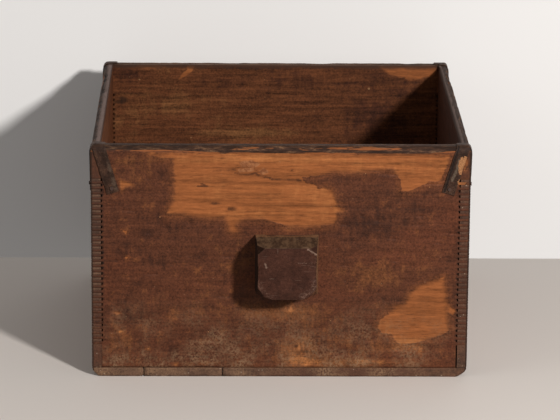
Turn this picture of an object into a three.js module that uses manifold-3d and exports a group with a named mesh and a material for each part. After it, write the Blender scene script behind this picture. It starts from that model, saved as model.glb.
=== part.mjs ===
// A Korean grain measure: a square open box of comb-jointed boards with a planked bottom,
// a gripping block on the front and the back, and a folded strap over each rim corner.
// Millimetres, +Z up. The front faces -Y. The origin is the middle of the underside.
import * as THREE from "three";
import { mergeVertices } from "three/addons/utils/BufferGeometryUtils.js";
import Module from "manifold-3d";

const wasm = await Module();
wasm.setup();

// Walls and bottom
const outsideWidth = 323;
const outsideDepth = 323;
const wallHeight = 197;
const bottomThickness = 8;
const frontThickness = 11;
const sideThickness = 8.5;
const rimZ = bottomThickness + wallHeight;

// Comb joint: the side boards' wide ends show at the foot, the front and back boards' at the rim
const fingerPitch = 4.6;
const fingerPairs = 32;
const combFoot = 21;
const combStart = bottomThickness + combFoot;
const fingerClearance = 0.1;
const rootHole = 1;

// The rim's outer edge is worn round, over the corners too
const rimEase = { across: 3.5, down: 6 };
const easeSteps = 4;

// Bottom planks run from front to back
const plankSeams = [44.6, 112.3];
const plankGap = 0.3;
const leftEdgeRound = { across: 4, up: 6 };
const rightEdgeRound = { across: 9, up: 6.5 };
const roundSteps = 5;

// Gripping blocks, one on the front and one on the back
const handleWidth = 54.5;
const handleHeight = 50.5;
const handleReach = 35;
const handleTaper = { across: 0.925, up: 0.9 };
const handleOffset = 5.5;
const handleSeat = 0.1;
const handleTopChops = [{ across: 6.5, up: 6, back: 7 }];
const handleBottomChops = [
  { across: 13, up: 4.7, back: 12 },
  { across: 7.5, up: 10.5, back: 17 },
];

// Corner straps
const strapWidth = 11.2;
const strapThickness = 1;
const strapFromCorner = 0.8;
const strapCapDrop = 2.5;
const strapDrop = 43;
const strapSlant = THREE.MathUtils.degToRad(17);
const strapSeat = 0.1;
const strapRimMargin = 0.5;

// Nails
const nailClearance = 0.1;
const nailSides = 16;
const strapNail = { head: 1.7, headHeight: 0.8, shank: 0.9, grip: 6, up: 6 };
const handleNail = { head: 3.2, headHeight: 1.2, shank: 1.6, grip: 22, spread: 22 };
const bottomNail = { head: 2.4, headHeight: 1, shank: 1.2, grip: 14, sink: 0.5 };
const nailFromCorner = 24;

// Finishes
const lacqueredWood = { color: 0x573323, roughness: 0.62, metalness: 0 };
const rubbedWood = { color: 0x6a4634, roughness: 0.75, metalness: 0 };
const handleWood = { color: 0x492c22, roughness: 0.55, metalness: 0 };
const darkHide = { color: 0x3a2620, roughness: 0.5, metalness: 0 };
const rustedIron = { color: 0x4a3328, roughness: 0.8, metalness: 0.6 };

const group = new THREE.Group();

function addPiece(name, geometry, finish) {
  const faceted = geometry.index ? geometry.toNonIndexed() : geometry;
  faceted.computeVertexNormals();
  const mesh = new THREE.Mesh(faceted, new THREE.MeshStandardMaterial(finish));
  mesh.name = name;
  group.add(mesh);
}

// Booleans on closed geometries
function toSolid(geometry) {
  const bare = geometry.clone();
  bare.deleteAttribute("normal");
  bare.deleteAttribute("uv");
  const merged = mergeVertices(bare, 1e-4);
  return new wasm.Manifold(
    new wasm.Mesh({
      numProp: 3,
      vertProperties: new Float32Array(merged.attributes.position.array),
      triVerts: new Uint32Array(merged.index.array),
    }),
  );
}

function toGeometry(solid) {
  const mesh = solid.getMesh();
  const geometry = new THREE.BufferGeometry();
  geometry.setAttribute("position", new THREE.BufferAttribute(mesh.vertProperties, 3));
  geometry.setIndex(new THREE.BufferAttribute(mesh.triVerts, 1));
  return geometry;
}

function cut(geometry, tools) {
  const solid = tools.reduce((left, tool) => left.subtract(toSolid(tool)), toSolid(geometry));
  return toGeometry(solid);
}

function extrudeOutline(points, depth) {
  const shape = new THREE.Shape(points.map(([x, y]) => new THREE.Vector2(x, y)));
  return new THREE.ExtrudeGeometry(shape, { depth, bevelEnabled: false });
}

// Mirrors a geometry across the box's middle planes where a sign is -1
function mirrored(geometry, signX, signY) {
  const turned = geometry.clone().scale(signX, signY, 1);
  if (signX * signY > 0) return turned;
  const order = turned.index.array;
  for (let i = 0; i < order.length; i += 3) {
    const second = order[i + 1];
    order[i + 1] = order[i + 2];
    order[i + 2] = second;
  }
  return turned;
}

// A nail along +Z: the head lies below z = 0 and the shank runs up from it
function nailGeometry(nail, length, extra = 0) {
  const profile = [
    [0, -nail.headHeight - extra],
    [nail.head + extra, -nail.headHeight - extra],
    [nail.head + extra, 0],
    [nail.shank + extra, 0],
    [nail.shank + extra, length - nail.shank + extra],
    [0, length + extra],
  ];
  const lathe = new THREE.LatheGeometry(
    profile.map(([r, z]) => new THREE.Vector2(r, z)),
    nailSides,
  );
  return lathe.rotateX(Math.PI / 2);
}

// The worn round of the rim's outer edge as [inset from the outer face, height], grown outwards
function easedEdge(grow) {
  return Array.from({ length: easeSteps + 1 }, (_, i) => {
    const angle = (i / easeSteps) * (Math.PI / 2);
    return [
      rimEase.across - (rimEase.across + grow) * Math.cos(angle),
      rimZ - rimEase.down + (rimEase.down + grow) * Math.sin(angle),
    ];
  });
}

// What the wear takes off along one of the four outer edges
function wornAway(span, halfReach, angle) {
  const over = 1;
  const section = [
    [-over, rimZ - rimEase.down],
    ...easedEdge(0),
    [rimEase.across, rimZ + over],
    [-over, rimZ + over],
  ];
  const waste = extrudeOutline(section, span + 2 * over);
  waste.translate(-halfReach, 0, -span / 2 - over);
  waste.rotateX(Math.PI / 2);
  waste.rotateZ(angle);
  return waste;
}

const rimWear = [
  wornAway(outsideDepth, outsideWidth / 2, 0),
  wornAway(outsideWidth, outsideDepth / 2, Math.PI / 2),
  wornAway(outsideDepth, outsideWidth / 2, Math.PI),
  wornAway(outsideWidth, outsideDepth / 2, -Math.PI / 2),
];

// Comb joint: the stretches of height in which a board reaches the outside of the corner
function combLands(ownsFoot) {
  const half = fingerClearance / 2;
  const combTop = combStart + fingerPairs * fingerPitch;
  const lands = Array.from({ length: fingerPairs }, (_, pair) => {
    const start = combStart + (pair + (ownsFoot ? 0.5 : 0)) * fingerPitch;
    return [start + half, start + fingerPitch / 2 - half];
  });
  if (ownsFoot) lands.unshift([bottomThickness, combStart - half]);
  else lands.push([combTop + half, rimZ]);
  return lands;
}

// One end of a board, from its foot to its rim, as [inset from the outside, height]
function boardEnd(matingThickness, ownsFoot) {
  const lands = combLands(ownsFoot);
  const plainInset = matingThickness + fingerClearance;
  const slotInset = plainInset + rootHole;
  const steps = [];
  if (!ownsFoot) steps.push([plainInset, bottomThickness], [plainInset, lands[0][0]]);
  lands.forEach(([start, end], i) => {
    steps.push([0, start], [0, end]);
    const next = lands[i + 1];
    if (next) steps.push([slotInset, end], [slotInset, next[0]]);
  });
  if (ownsFoot) {
    const top = lands[lands.length - 1][1];
    steps.push([plainInset, top], [plainInset, rimZ]);
  }
  return steps;
}

// A wall board standing with its outer face on y = 0 and its thickness towards +Y
function wallBoard(length, thickness, matingThickness, ownsFoot) {
  const end = boardEnd(matingThickness, ownsFoot);
  const right = end.map(([inset, z]) => [length / 2 - inset, z]);
  const left = end.map(([inset, z]) => [inset - length / 2, z]);
  const outline = [...right, ...left.reverse()];
  const board = extrudeOutline(outline, thickness);
  board.rotateX(Math.PI / 2);
  board.translate(0, thickness, 0);
  return board;
}

// Nail places
const handleZ = rimZ / 2;
const handleNailZ = [-1, 1].map((side) => handleZ + (side * handleNail.spread) / 2);
const strapNailDrop = strapDrop - strapNail.up;
const strapNailFromCorner =
  strapFromCorner + strapWidth / Math.cos(strapSlant) / 2 + strapNailDrop * Math.tan(strapSlant);

function bottomNailPlaces() {
  const left = -outsideWidth / 2;
  const right = outsideWidth / 2;
  const endY = outsideDepth / 2 - frontThickness / 2;
  const sideX = outsideWidth / 2 - sideThickness / 2;
  const [firstSeam, secondSeam] = plankSeams;
  const middleWidth = secondSeam - firstSeam;
  const wideWidth = outsideWidth - secondSeam;
  const acrossX = [
    left + (nailFromCorner + firstSeam) / 2,
    left + firstSeam + middleWidth / 4,
    left + firstSeam + (middleWidth * 3) / 4,
    left + secondSeam + wideWidth / 8,
    left + secondSeam + wideWidth / 2,
    right - nailFromCorner,
  ];
  const alongY = outsideDepth / 6;
  return [
    ...acrossX.map((x) => ({ end: "front", x, y: -endY })),
    ...acrossX.map((x) => ({ end: "back", x, y: endY })),
    ...[-alongY, alongY].map((y) => ({ end: "left", x: -sideX, y })),
    ...[-alongY, alongY].map((y) => ({ end: "right", x: sideX, y })),
  ];
}

const bottomNails = bottomNailPlaces().map((place) => {
  const length = bottomThickness - bottomNail.sink - bottomNail.headHeight + bottomNail.grip;
  const z = bottomNail.sink + bottomNail.headHeight;
  const nail = nailGeometry(bottomNail, length).translate(place.x, place.y, z);
  const hole = nailGeometry(bottomNail, length, nailClearance).translate(place.x, place.y, z);
  return { ...place, nail, hole, mouth: headMouth(bottomNail).translate(place.x, place.y, 0) };
});

// The open mouth through which a sunk head shows
function headMouth(nail) {
  const mouth = new THREE.CylinderGeometry(
    nail.head + nailClearance,
    nail.head + nailClearance,
    2 * (nail.sink + nail.headHeight / 2),
    nailSides,
  );
  return mouth.rotateX(Math.PI / 2);
}

// Strap nails and handle nails, in world places
const strapNails = [];
for (const [end, signY] of [["front", -1], ["back", 1]]) {
  for (const [side, signX] of [["left", -1], ["right", 1]]) {
    const z = rimZ - strapNailDrop;
    const length = strapThickness + strapSeat + strapNail.grip;
    const faceX = outsideWidth / 2 + strapSeat + strapThickness + nailClearance;
    const faceY = outsideDepth / 2 + strapSeat + strapThickness + nailClearance;
    const alongX = signX * (outsideWidth / 2 - strapNailFromCorner);
    const alongY = signY * (outsideDepth / 2 - strapNailFromCorner);
    const inY = (shape) => shape.rotateX((signY * Math.PI) / 2).translate(alongX, signY * faceY, z);
    const inX = (shape) => shape.rotateY((-signX * Math.PI) / 2).translate(signX * faceX, alongY, z);
    for (const [name, place, board] of [["face", inY, end], ["side", inX, side]]) {
      strapNails.push({
        name: `strap_nail_${end}_${side}_${name}`,
        corner: `${end}_${side}`,
        board,
        nail: place(nailGeometry(strapNail, length)),
        hole: place(nailGeometry(strapNail, length, nailClearance)),
      });
    }
  }
}

const handleNails = [];
for (const [end, signY] of [["front", -1], ["back", 1]]) {
  handleNailZ.forEach((z, i) => {
    const innerY = outsideDepth / 2 - frontThickness + handleNail.headHeight;
    const length = frontThickness - handleNail.headHeight + handleSeat + handleNail.grip;
    const place = (shape) =>
      shape.rotateX((-signY * Math.PI) / 2).translate(-signY * handleOffset, signY * innerY, z);
    handleNails.push({
      name: `handle_nail_${end}_${i ? "upper" : "lower"}`,
      board: end,
      nail: place(nailGeometry(handleNail, length)),
      hole: place(nailGeometry(handleNail, length, nailClearance)),
    });
  });
}

function holesIn(board) {
  return [...bottomNails.map((n) => ({ ...n, board: n.end })), ...strapNails, ...handleNails]
    .filter((n) => n.board === board)
    .map((n) => n.hole);
}

// Walls
for (const [name, angle] of [["front", 0], ["back", Math.PI]]) {
  const board = wallBoard(outsideWidth, frontThickness, sideThickness, false);
  board.translate(0, -outsideDepth / 2, 0).rotateZ(angle);
  addPiece(`${name}_board`, cut(board, [...rimWear, ...holesIn(name)]), lacqueredWood);
}
for (const [name, angle] of [["left", -Math.PI / 2], ["right", Math.PI / 2]]) {
  const board = wallBoard(outsideDepth, sideThickness, frontThickness, true);
  board.translate(0, -outsideWidth / 2, 0).rotateZ(angle);
  addPiece(`${name}_board`, cut(board, [...rimWear, ...holesIn(name)]), lacqueredWood);
}

// Bottom planks, the outer two rounded along their lower outside edge
function roundedFoot(cornerX, inward, round) {
  return Array.from({ length: roundSteps + 1 }, (_, i) => {
    const angle = (i / roundSteps) * (Math.PI / 2);
    return [cornerX + inward * round.across * (1 - Math.sin(angle)), round.up * (1 - Math.cos(angle))];
  });
}

function plank(left, right) {
  const halfWidth = outsideWidth / 2;
  const foot = [
    ...(left === -halfWidth ? roundedFoot(left, 1, leftEdgeRound).reverse() : [[left, 0]]),
    ...(right === halfWidth ? roundedFoot(right, -1, rightEdgeRound) : [[right, 0]]),
  ];
  const section = [[left, bottomThickness], ...foot, [right, bottomThickness]];
  const solid = extrudeOutline(section, outsideDepth);
  solid.rotateX(Math.PI / 2);
  solid.translate(0, outsideDepth / 2, 0);
  return solid;
}

const plankEdges = [0, ...plankSeams, outsideWidth].map((x) => x - outsideWidth / 2);
["left", "middle", "wide"].forEach((name, i) => {
  const left = plankEdges[i] + (i ? plankGap / 2 : 0);
  const right = plankEdges[i + 1] - (i < 2 ? plankGap / 2 : 0);
  const holes = bottomNails.filter((n) => n.x > left && n.x < right).flatMap((n) => [n.hole, n.mouth]);
  addPiece(`bottom_plank_${name}`, cut(plank(left, right), holes), rubbedWood);
});

// Gripping blocks: they narrow away from the wall, and the corners of the grip are cut off
function cornerChop(chop, signX, signZ) {
  const size = handleWidth;
  const { across, up, back } = chop;
  const normal = new THREE.Vector3(signX / across, -1 / back, signZ / up).normalize();
  const onPlane = new THREE.Vector3(
    signX * ((handleWidth / 2) * handleTaper.across - across / 3),
    back / 3 - handleReach,
    signZ * ((handleHeight / 2) * handleTaper.up - up / 3),
  );
  const waste = new THREE.BoxGeometry(size, size, size).translate(0, 0, size / 2);
  waste.applyQuaternion(new THREE.Quaternion().setFromUnitVectors(new THREE.Vector3(0, 0, 1), normal));
  return waste.translate(onPlane.x, onPlane.y, onPlane.z);
}

function handleBlock() {
  const block = new THREE.BoxGeometry(handleWidth, handleReach, handleHeight);
  block.translate(0, -handleReach / 2, 0);
  const position = block.attributes.position;
  for (let i = 0; i < position.count; i++) {
    if (position.getY(i) < -handleReach / 2) {
      position.setX(i, position.getX(i) * handleTaper.across);
      position.setZ(i, position.getZ(i) * handleTaper.up);
    }
  }
  const chops = [-1, 1].flatMap((signX) => [
    ...handleTopChops.map((chop) => cornerChop(chop, signX, 1)),
    ...handleBottomChops.map((chop) => cornerChop(chop, signX, -1)),
  ]);
  return cut(block, chops);
}

for (const [name, angle] of [["front", 0], ["back", Math.PI]]) {
  const block = handleBlock().translate(handleOffset, -outsideDepth / 2 - handleSeat, handleZ).rotateZ(angle);
  const holes = handleNails.filter((n) => n.board === name).map((n) => n.hole);
  addPiece(`${name}_handle`, cut(block, holes), handleWood);
}

// Mirrors a geometry across the corner's diagonal, so that what lies along X lies along Y
function acrossDiagonal(geometry) {
  return mirrored(geometry.clone().rotateZ(Math.PI / 2), -1, 1);
}

// The worn box corner as a solid grown outwards, with the corner at the origin and the walls
// towards +X and +Y
function cornerBody(grow) {
  const reach = 2 * strapWidth + strapDrop;
  const section = [...easedEdge(grow), [reach, rimZ + grow], [reach, rimZ - reach], [-grow, rimZ - reach]];
  const bar = extrudeOutline(section, 2 * reach).rotateX(Math.PI / 2).translate(0, reach, 0);
  const half = toGeometry(toSolid(bar));
  return toSolid(half).intersect(toSolid(acrossDiagonal(half)));
}

// The straight outline of a strap leg, seen square on to the wall that it lies against
function strapLeg(lap) {
  const over = 5;
  const run = Math.tan(strapSlant);
  const wide = strapWidth / Math.cos(strapSlant);
  const endLift = strapWidth * Math.sin(strapSlant);
  const nearEnd = rimZ - strapDrop;
  const endX = strapFromCorner + strapDrop * run;
  const outline = [
    [strapFromCorner, rimZ + over],
    [strapFromCorner, rimZ],
    [endX, nearEnd],
    [endX + strapWidth * Math.cos(strapSlant), nearEnd + endLift],
    [strapFromCorner + wide, rimZ],
    [strapFromCorner + wide, rimZ + over],
  ];
  return extrudeOutline(outline, over + lap).rotateX(Math.PI / 2).translate(0, lap, 0);
}

// A strap hugs the worn corner: a leg down each wall and a cap over the top of the corner
function cornerStrap() {
  const over = 5;
  const faceLap = frontThickness - strapRimMargin;
  const sideLap = sideThickness - strapRimMargin;
  const cap = new THREE.BoxGeometry(sideLap + over, faceLap + over, strapCapDrop + over);
  cap.translate((sideLap - over) / 2, (faceLap - over) / 2, rimZ + (over - strapCapDrop) / 2);
  const sideLeg = toGeometry(toSolid(strapLeg(sideLap)));
  const outline = toSolid(strapLeg(faceLap)).add(toSolid(acrossDiagonal(sideLeg))).add(toSolid(cap));
  const shell = cornerBody(strapSeat + strapThickness).subtract(cornerBody(strapSeat));
  return toGeometry(shell.intersect(outline));
}

for (const [end, signY] of [["front", -1], ["back", 1]]) {
  for (const [side, signX] of [["left", -1], ["right", 1]]) {
    const strap = mirrored(cornerStrap(), -signX, -signY);
    strap.translate((signX * outsideWidth) / 2, (signY * outsideDepth) / 2, 0);
    const holes = strapNails.filter((n) => n.corner === `${end}_${side}`).map((n) => n.hole);
    addPiece(`strap_${end}_${side}`, cut(strap, holes), darkHide);
  }
}

// Nails
strapNails.forEach((n) => addPiece(n.name, n.nail, rustedIron));
handleNails.forEach((n) => addPiece(n.name, n.nail, rustedIron));
bottomNails.forEach((n, i) => addPiece(`bottom_nail_${n.end}_${i + 1}`, n.nail, rustedIron));

export default group;
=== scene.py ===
import math
from collections import namedtuple
from contextlib import contextmanager

import bmesh
import bpy
import numpy as np
from mathutils import Matrix, Vector


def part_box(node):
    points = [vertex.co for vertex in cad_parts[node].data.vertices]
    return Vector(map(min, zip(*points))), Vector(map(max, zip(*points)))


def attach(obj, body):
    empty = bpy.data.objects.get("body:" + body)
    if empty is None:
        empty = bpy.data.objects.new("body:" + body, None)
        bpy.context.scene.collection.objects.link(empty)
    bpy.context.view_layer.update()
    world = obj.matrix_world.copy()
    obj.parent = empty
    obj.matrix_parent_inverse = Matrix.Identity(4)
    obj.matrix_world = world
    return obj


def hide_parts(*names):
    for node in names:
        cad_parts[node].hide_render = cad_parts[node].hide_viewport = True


bl_info = {
    "name": "Grain Measure",
    "version": (1, 0, 0),
    "blender": (4, 5, 0),
    "location": "3D View > Sidebar > Grain Measure",
    "description": "Worn boards, blocks, straps and nails of a square wooden grain measure",
    "category": "Object",
}

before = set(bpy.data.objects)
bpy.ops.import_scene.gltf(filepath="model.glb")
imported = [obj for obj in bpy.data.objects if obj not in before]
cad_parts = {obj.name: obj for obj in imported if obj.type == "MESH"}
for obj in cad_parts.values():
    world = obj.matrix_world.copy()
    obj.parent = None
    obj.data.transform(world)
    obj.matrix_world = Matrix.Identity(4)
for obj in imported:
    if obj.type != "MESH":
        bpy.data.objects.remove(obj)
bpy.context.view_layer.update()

MM = 0.001
FRONT_LOW, FRONT_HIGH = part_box("front_board")
LEFT_LOW, LEFT_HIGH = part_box("left_board")
HALF_WIDTH = FRONT_HIGH.x
HALF_DEPTH = -FRONT_LOW.y
FOOT_Z = FRONT_LOW.z
RIM_Z = FRONT_HIGH.z
FRONT_THICKNESS = FRONT_HIGH.y - FRONT_LOW.y
SIDE_THICKNESS = LEFT_HIGH.x - LEFT_LOW.x

# The round wear of the rim's outer edge, as on the frame's boards
EASE_ACROSS = 3.5 * MM
EASE_DOWN = 6 * MM

# Points that lie closer than this to a plane of the frame's boards lie on it
ON_PLANE = 1e-6

# Between these heights the dirt in the comb thins out
SILT_TOP = (45 * MM, 85 * MM)


def paint(red, green, blue):
    """An 8-bit colour as the linear values that Blender works in."""
    parts = [value / 255 for value in (red, green, blue)]
    return tuple(p / 12.92 if p <= 0.04045 else ((p + 0.055) / 1.055) ** 2.4 for p in parts)


def colour_property(name, description, *shade):
    return bpy.props.FloatVectorProperty(
        name=name, description=description, default=paint(*shade), size=3, min=0, max=1, subtype="COLOR"
    )


def length_property(name, description, millimetres):
    return bpy.props.FloatProperty(
        name=name, description=description, default=millimetres * MM, unit="LENGTH"
    )


def number_property(name, description, default, unit="NONE"):
    return bpy.props.FloatProperty(name=name, description=description, default=default, unit=unit)


class GrainMeasureSizes(bpy.types.PropertyGroup):
    """Sizes of the wear and of the mesh that carries it."""

    column_step: length_property("Column step", "Spacing of mesh columns along a board", 1.85)
    row_step: length_property("Row step", "Spacing of mesh rows up a board", 1.3)
    finger_edge: length_property("Finger edge", "Width of a comb finger's rounded edge", 0.6)
    finger_round: length_property("Finger rounding", "Depth of a comb finger's rounding", 0.28)
    finger_spread: length_property("Finger spread", "Uneven depth of the finger ends", 0.18)
    foot_gap: length_property("Foot gap", "Rounding of the boards' lower edge", 0.5)
    seam_gap: length_property("Seam gap", "How far an open joint has parted below the comb", 1.3)
    rim_chips: length_property("Rim chips", "Depth of the chips along the rim's outer edge", 1.3)
    face_wear: length_property("Face wear", "Depth of the hollows worn into the boards", 0.35)
    block_round: length_property("Block rounding", "Rounding of the gripping block's edges", 1.3)
    strap_round: length_property("Strap rounding", "Rounding of the strap's edges", 0.35)


class GrainMeasureColours(bpy.types.PropertyGroup):
    """Colours of the finishes."""

    bare: colour_property("Bare wood", "Wood where the lacquer has gone", 142, 82, 44)
    bare_pale: colour_property("Bare wood, pale", "Pale bands of the bare wood", 168, 104, 58)
    bare_dark: colour_property("Bare wood, dark", "Dark streaks of the bare wood", 108, 60, 32)
    lacquer: colour_property("Lacquer", "Old dark lacquer", 84, 47, 30)
    lacquer_deep: colour_property("Lacquer, deep", "Lacquer where it lies thickest", 60, 34, 23)
    lacquer_thin: colour_property("Lacquer, thin", "Lacquer rubbed thin over the wood", 108, 64, 37)
    lacquer_red: colour_property("Lacquer, reddish", "Lacquer that has gone reddish", 94, 50, 31)
    inside: colour_property("Inside wood", "Oily brown wood of the inner faces", 90, 51, 29)
    end_grain: colour_property("End grain", "Dirty end grain of fingers and planks", 106, 77, 59)
    dust: colour_property("Dust", "Grey-brown dust in the lower parts", 140, 106, 78)
    rim: colour_property("Rim", "Dark handled wood of the rim", 60, 40, 30)
    rim_grey: colour_property("Rim, grey", "Grey bloom along the rim's inner part", 112, 92, 84)
    block: colour_property("Gripping block", "Dark wood of the gripping blocks", 70, 41, 30)
    hide: colour_property("Strap", "Dark lacquered hide of the straps", 64, 43, 32)
    hide_peeled: colour_property("Strap, peeled", "Tan hide under the lacquer", 158, 108, 70)
    rust: colour_property("Nail", "Rusted iron of the nails", 80, 50, 35)
    floor: colour_property("Floor", "Pale floor", 224, 214, 205)
    wall: colour_property("Wall", "Pale wall behind the measure", 242, 238, 234)


class GrainMeasureStage(bpy.types.PropertyGroup):
    """Camera and lights."""

    lens: number_property("Lens", "Focal length in millimetres", 205.7)
    key_power: number_property("Key", "Power of the main lamp", 62, "POWER")
    fill_power: number_property("Fill", "Power of each fill lamp", 8, "POWER")
    sky: number_property("Sky", "Strength of the even light all round", 0.21)


# Selection, meshes and arrays


def deselect_all():
    if bpy.context.mode != "OBJECT":
        bpy.ops.object.mode_set(mode="OBJECT")
    bpy.ops.object.select_all(action="DESELECT")


def make_active(obj):
    deselect_all()
    obj.select_set(True)
    bpy.context.view_layer.objects.active = obj


def apply_modifier(obj, kind, **settings):
    make_active(obj)
    modifier = obj.modifiers.new(kind.title(), kind)
    for name, value in settings.items():
        setattr(modifier, name, value)
    bpy.ops.object.modifier_apply(modifier=modifier.name)


@contextmanager
def editing(obj):
    """Opens a piece's mesh and writes it back."""
    mesh = bmesh.new()
    mesh.from_mesh(obj.data)
    yield mesh
    mesh.to_mesh(obj.data)
    mesh.free()


def read_vectors(items, name):
    """One vector of each of a mesh's points or faces, in rows."""
    vectors = np.empty(len(items) * 3)
    items.foreach_get(name, vectors)
    return vectors.reshape(-1, 3)


def read_points(obj):
    return read_vectors(obj.data.vertices, "co")


def point_normals(obj):
    return read_vectors(obj.data.vertex_normals, "vector")


def face_centres(obj):
    return read_vectors(obj.data.polygons, "center")


def face_normals(obj):
    return read_vectors(obj.data.polygons, "normal")


def write_points(obj, points):
    obj.data.vertices.foreach_set("co", points.astype(np.float32).ravel())
    obj.data.update()


def store(obj, name, values):
    """Keeps one number or one vector for each point of a mesh, for its material to read."""
    values = np.asarray(values, dtype=np.float32)
    if values.ndim == 2:
        attribute = obj.data.attributes.new(name, "FLOAT_VECTOR", "POINT")
        attribute.data.foreach_set("vector", values.ravel())
    else:
        attribute = obj.data.attributes.new(name, "FLOAT", "POINT")
        attribute.data.foreach_set("value", values)


def finish_piece(obj, name, nodes, materials, smooth_angle=32):
    """Names a piece, gives it its materials, hangs it under the root body and hides the frame's nodes that
    it stands for.
    """
    obj.name = name
    obj.data.name = name
    for material in materials:
        obj.data.materials.append(material)
    make_active(obj)
    bpy.ops.object.shade_smooth_by_angle(angle=math.radians(smooth_angle))
    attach(obj, "root")
    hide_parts(*nodes)


# Smooth noise on arrays of points, the same on every run


def lattice_value(cells, seed):
    """A fixed number from 0 to 1 for each whole-number cell."""
    x, y, z = (cells[:, i].astype(np.int64) for i in range(3))
    mixed = (x * 73856093) ^ (y * 19349663) ^ (z * 83492791) ^ (seed * 2654435761)
    mixed &= 0xFFFFFFFF
    mixed = ((mixed ^ (mixed >> 13)) * 1274126177) & 0xFFFFFFFF
    return ((mixed ^ (mixed >> 16)) & 0xFFFFFF) / 0xFFFFFF


def noise(points, blotch, seed):
    """Smooth noise from 0 to 1; blotch is the size of one blotch along each axis, in metres."""
    scaled = points / np.asarray(blotch)
    base = np.floor(scaled)
    part = scaled - base
    part = part * part * (3 - 2 * part)
    total = np.zeros(len(points))
    for corner in np.ndindex(2, 2, 2):
        offset = np.array(corner)
        weight = np.where(offset == 1, part, 1 - part).prod(axis=1)
        total += weight * lattice_value(base + offset, seed)
    return total


def rise(values, start, end):
    """0 before start, 1 after end, smooth between them."""
    t = np.clip((values - start) / (end - start), 0, 1)
    return t * t * (3 - 2 * t)


def at_side(u, pair):
    """The left or the right one of a pair of values, by the sign of u."""
    return np.where(u < 0, pair[0], pair[1])


def segment_distance(points, first, second):
    along = second - first
    share = np.clip(((points - first) @ along) / max(float(along @ along), 1e-12), 0, 1)
    return np.linalg.norm(points - first - share[:, None] * along, axis=1)


def inside_distance(points, outline):
    """How far inside a closed outline each flat point lies; negative outside."""
    corners = np.array(outline, dtype=float)
    nearest = np.full(len(points), np.inf)
    inside = np.zeros(len(points), dtype=bool)
    for first, second in zip(corners, np.roll(corners, -1, axis=0)):
        nearest = np.minimum(nearest, segment_distance(points, first, second))
        crosses = (first[1] > points[:, 1]) != (second[1] > points[:, 1])
        run = (second[0] - first[0]) / (second[1] - first[1] or 1e-12)
        inside ^= crosses & (points[:, 0] < first[0] + run * (points[:, 1] - first[1]))
    return np.where(inside, nearest, -nearest)


# Wear of each board face, in millimetres. u runs along the board, to the right as its outer face
# is seen, and v up from the ground. Spots and knots are (u, v, half length, half height, strength),
# and a crack is its points, its half width and its strength.
Wear = namedtuple("Wear", "bare kept scars warm knots cracks")

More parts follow.
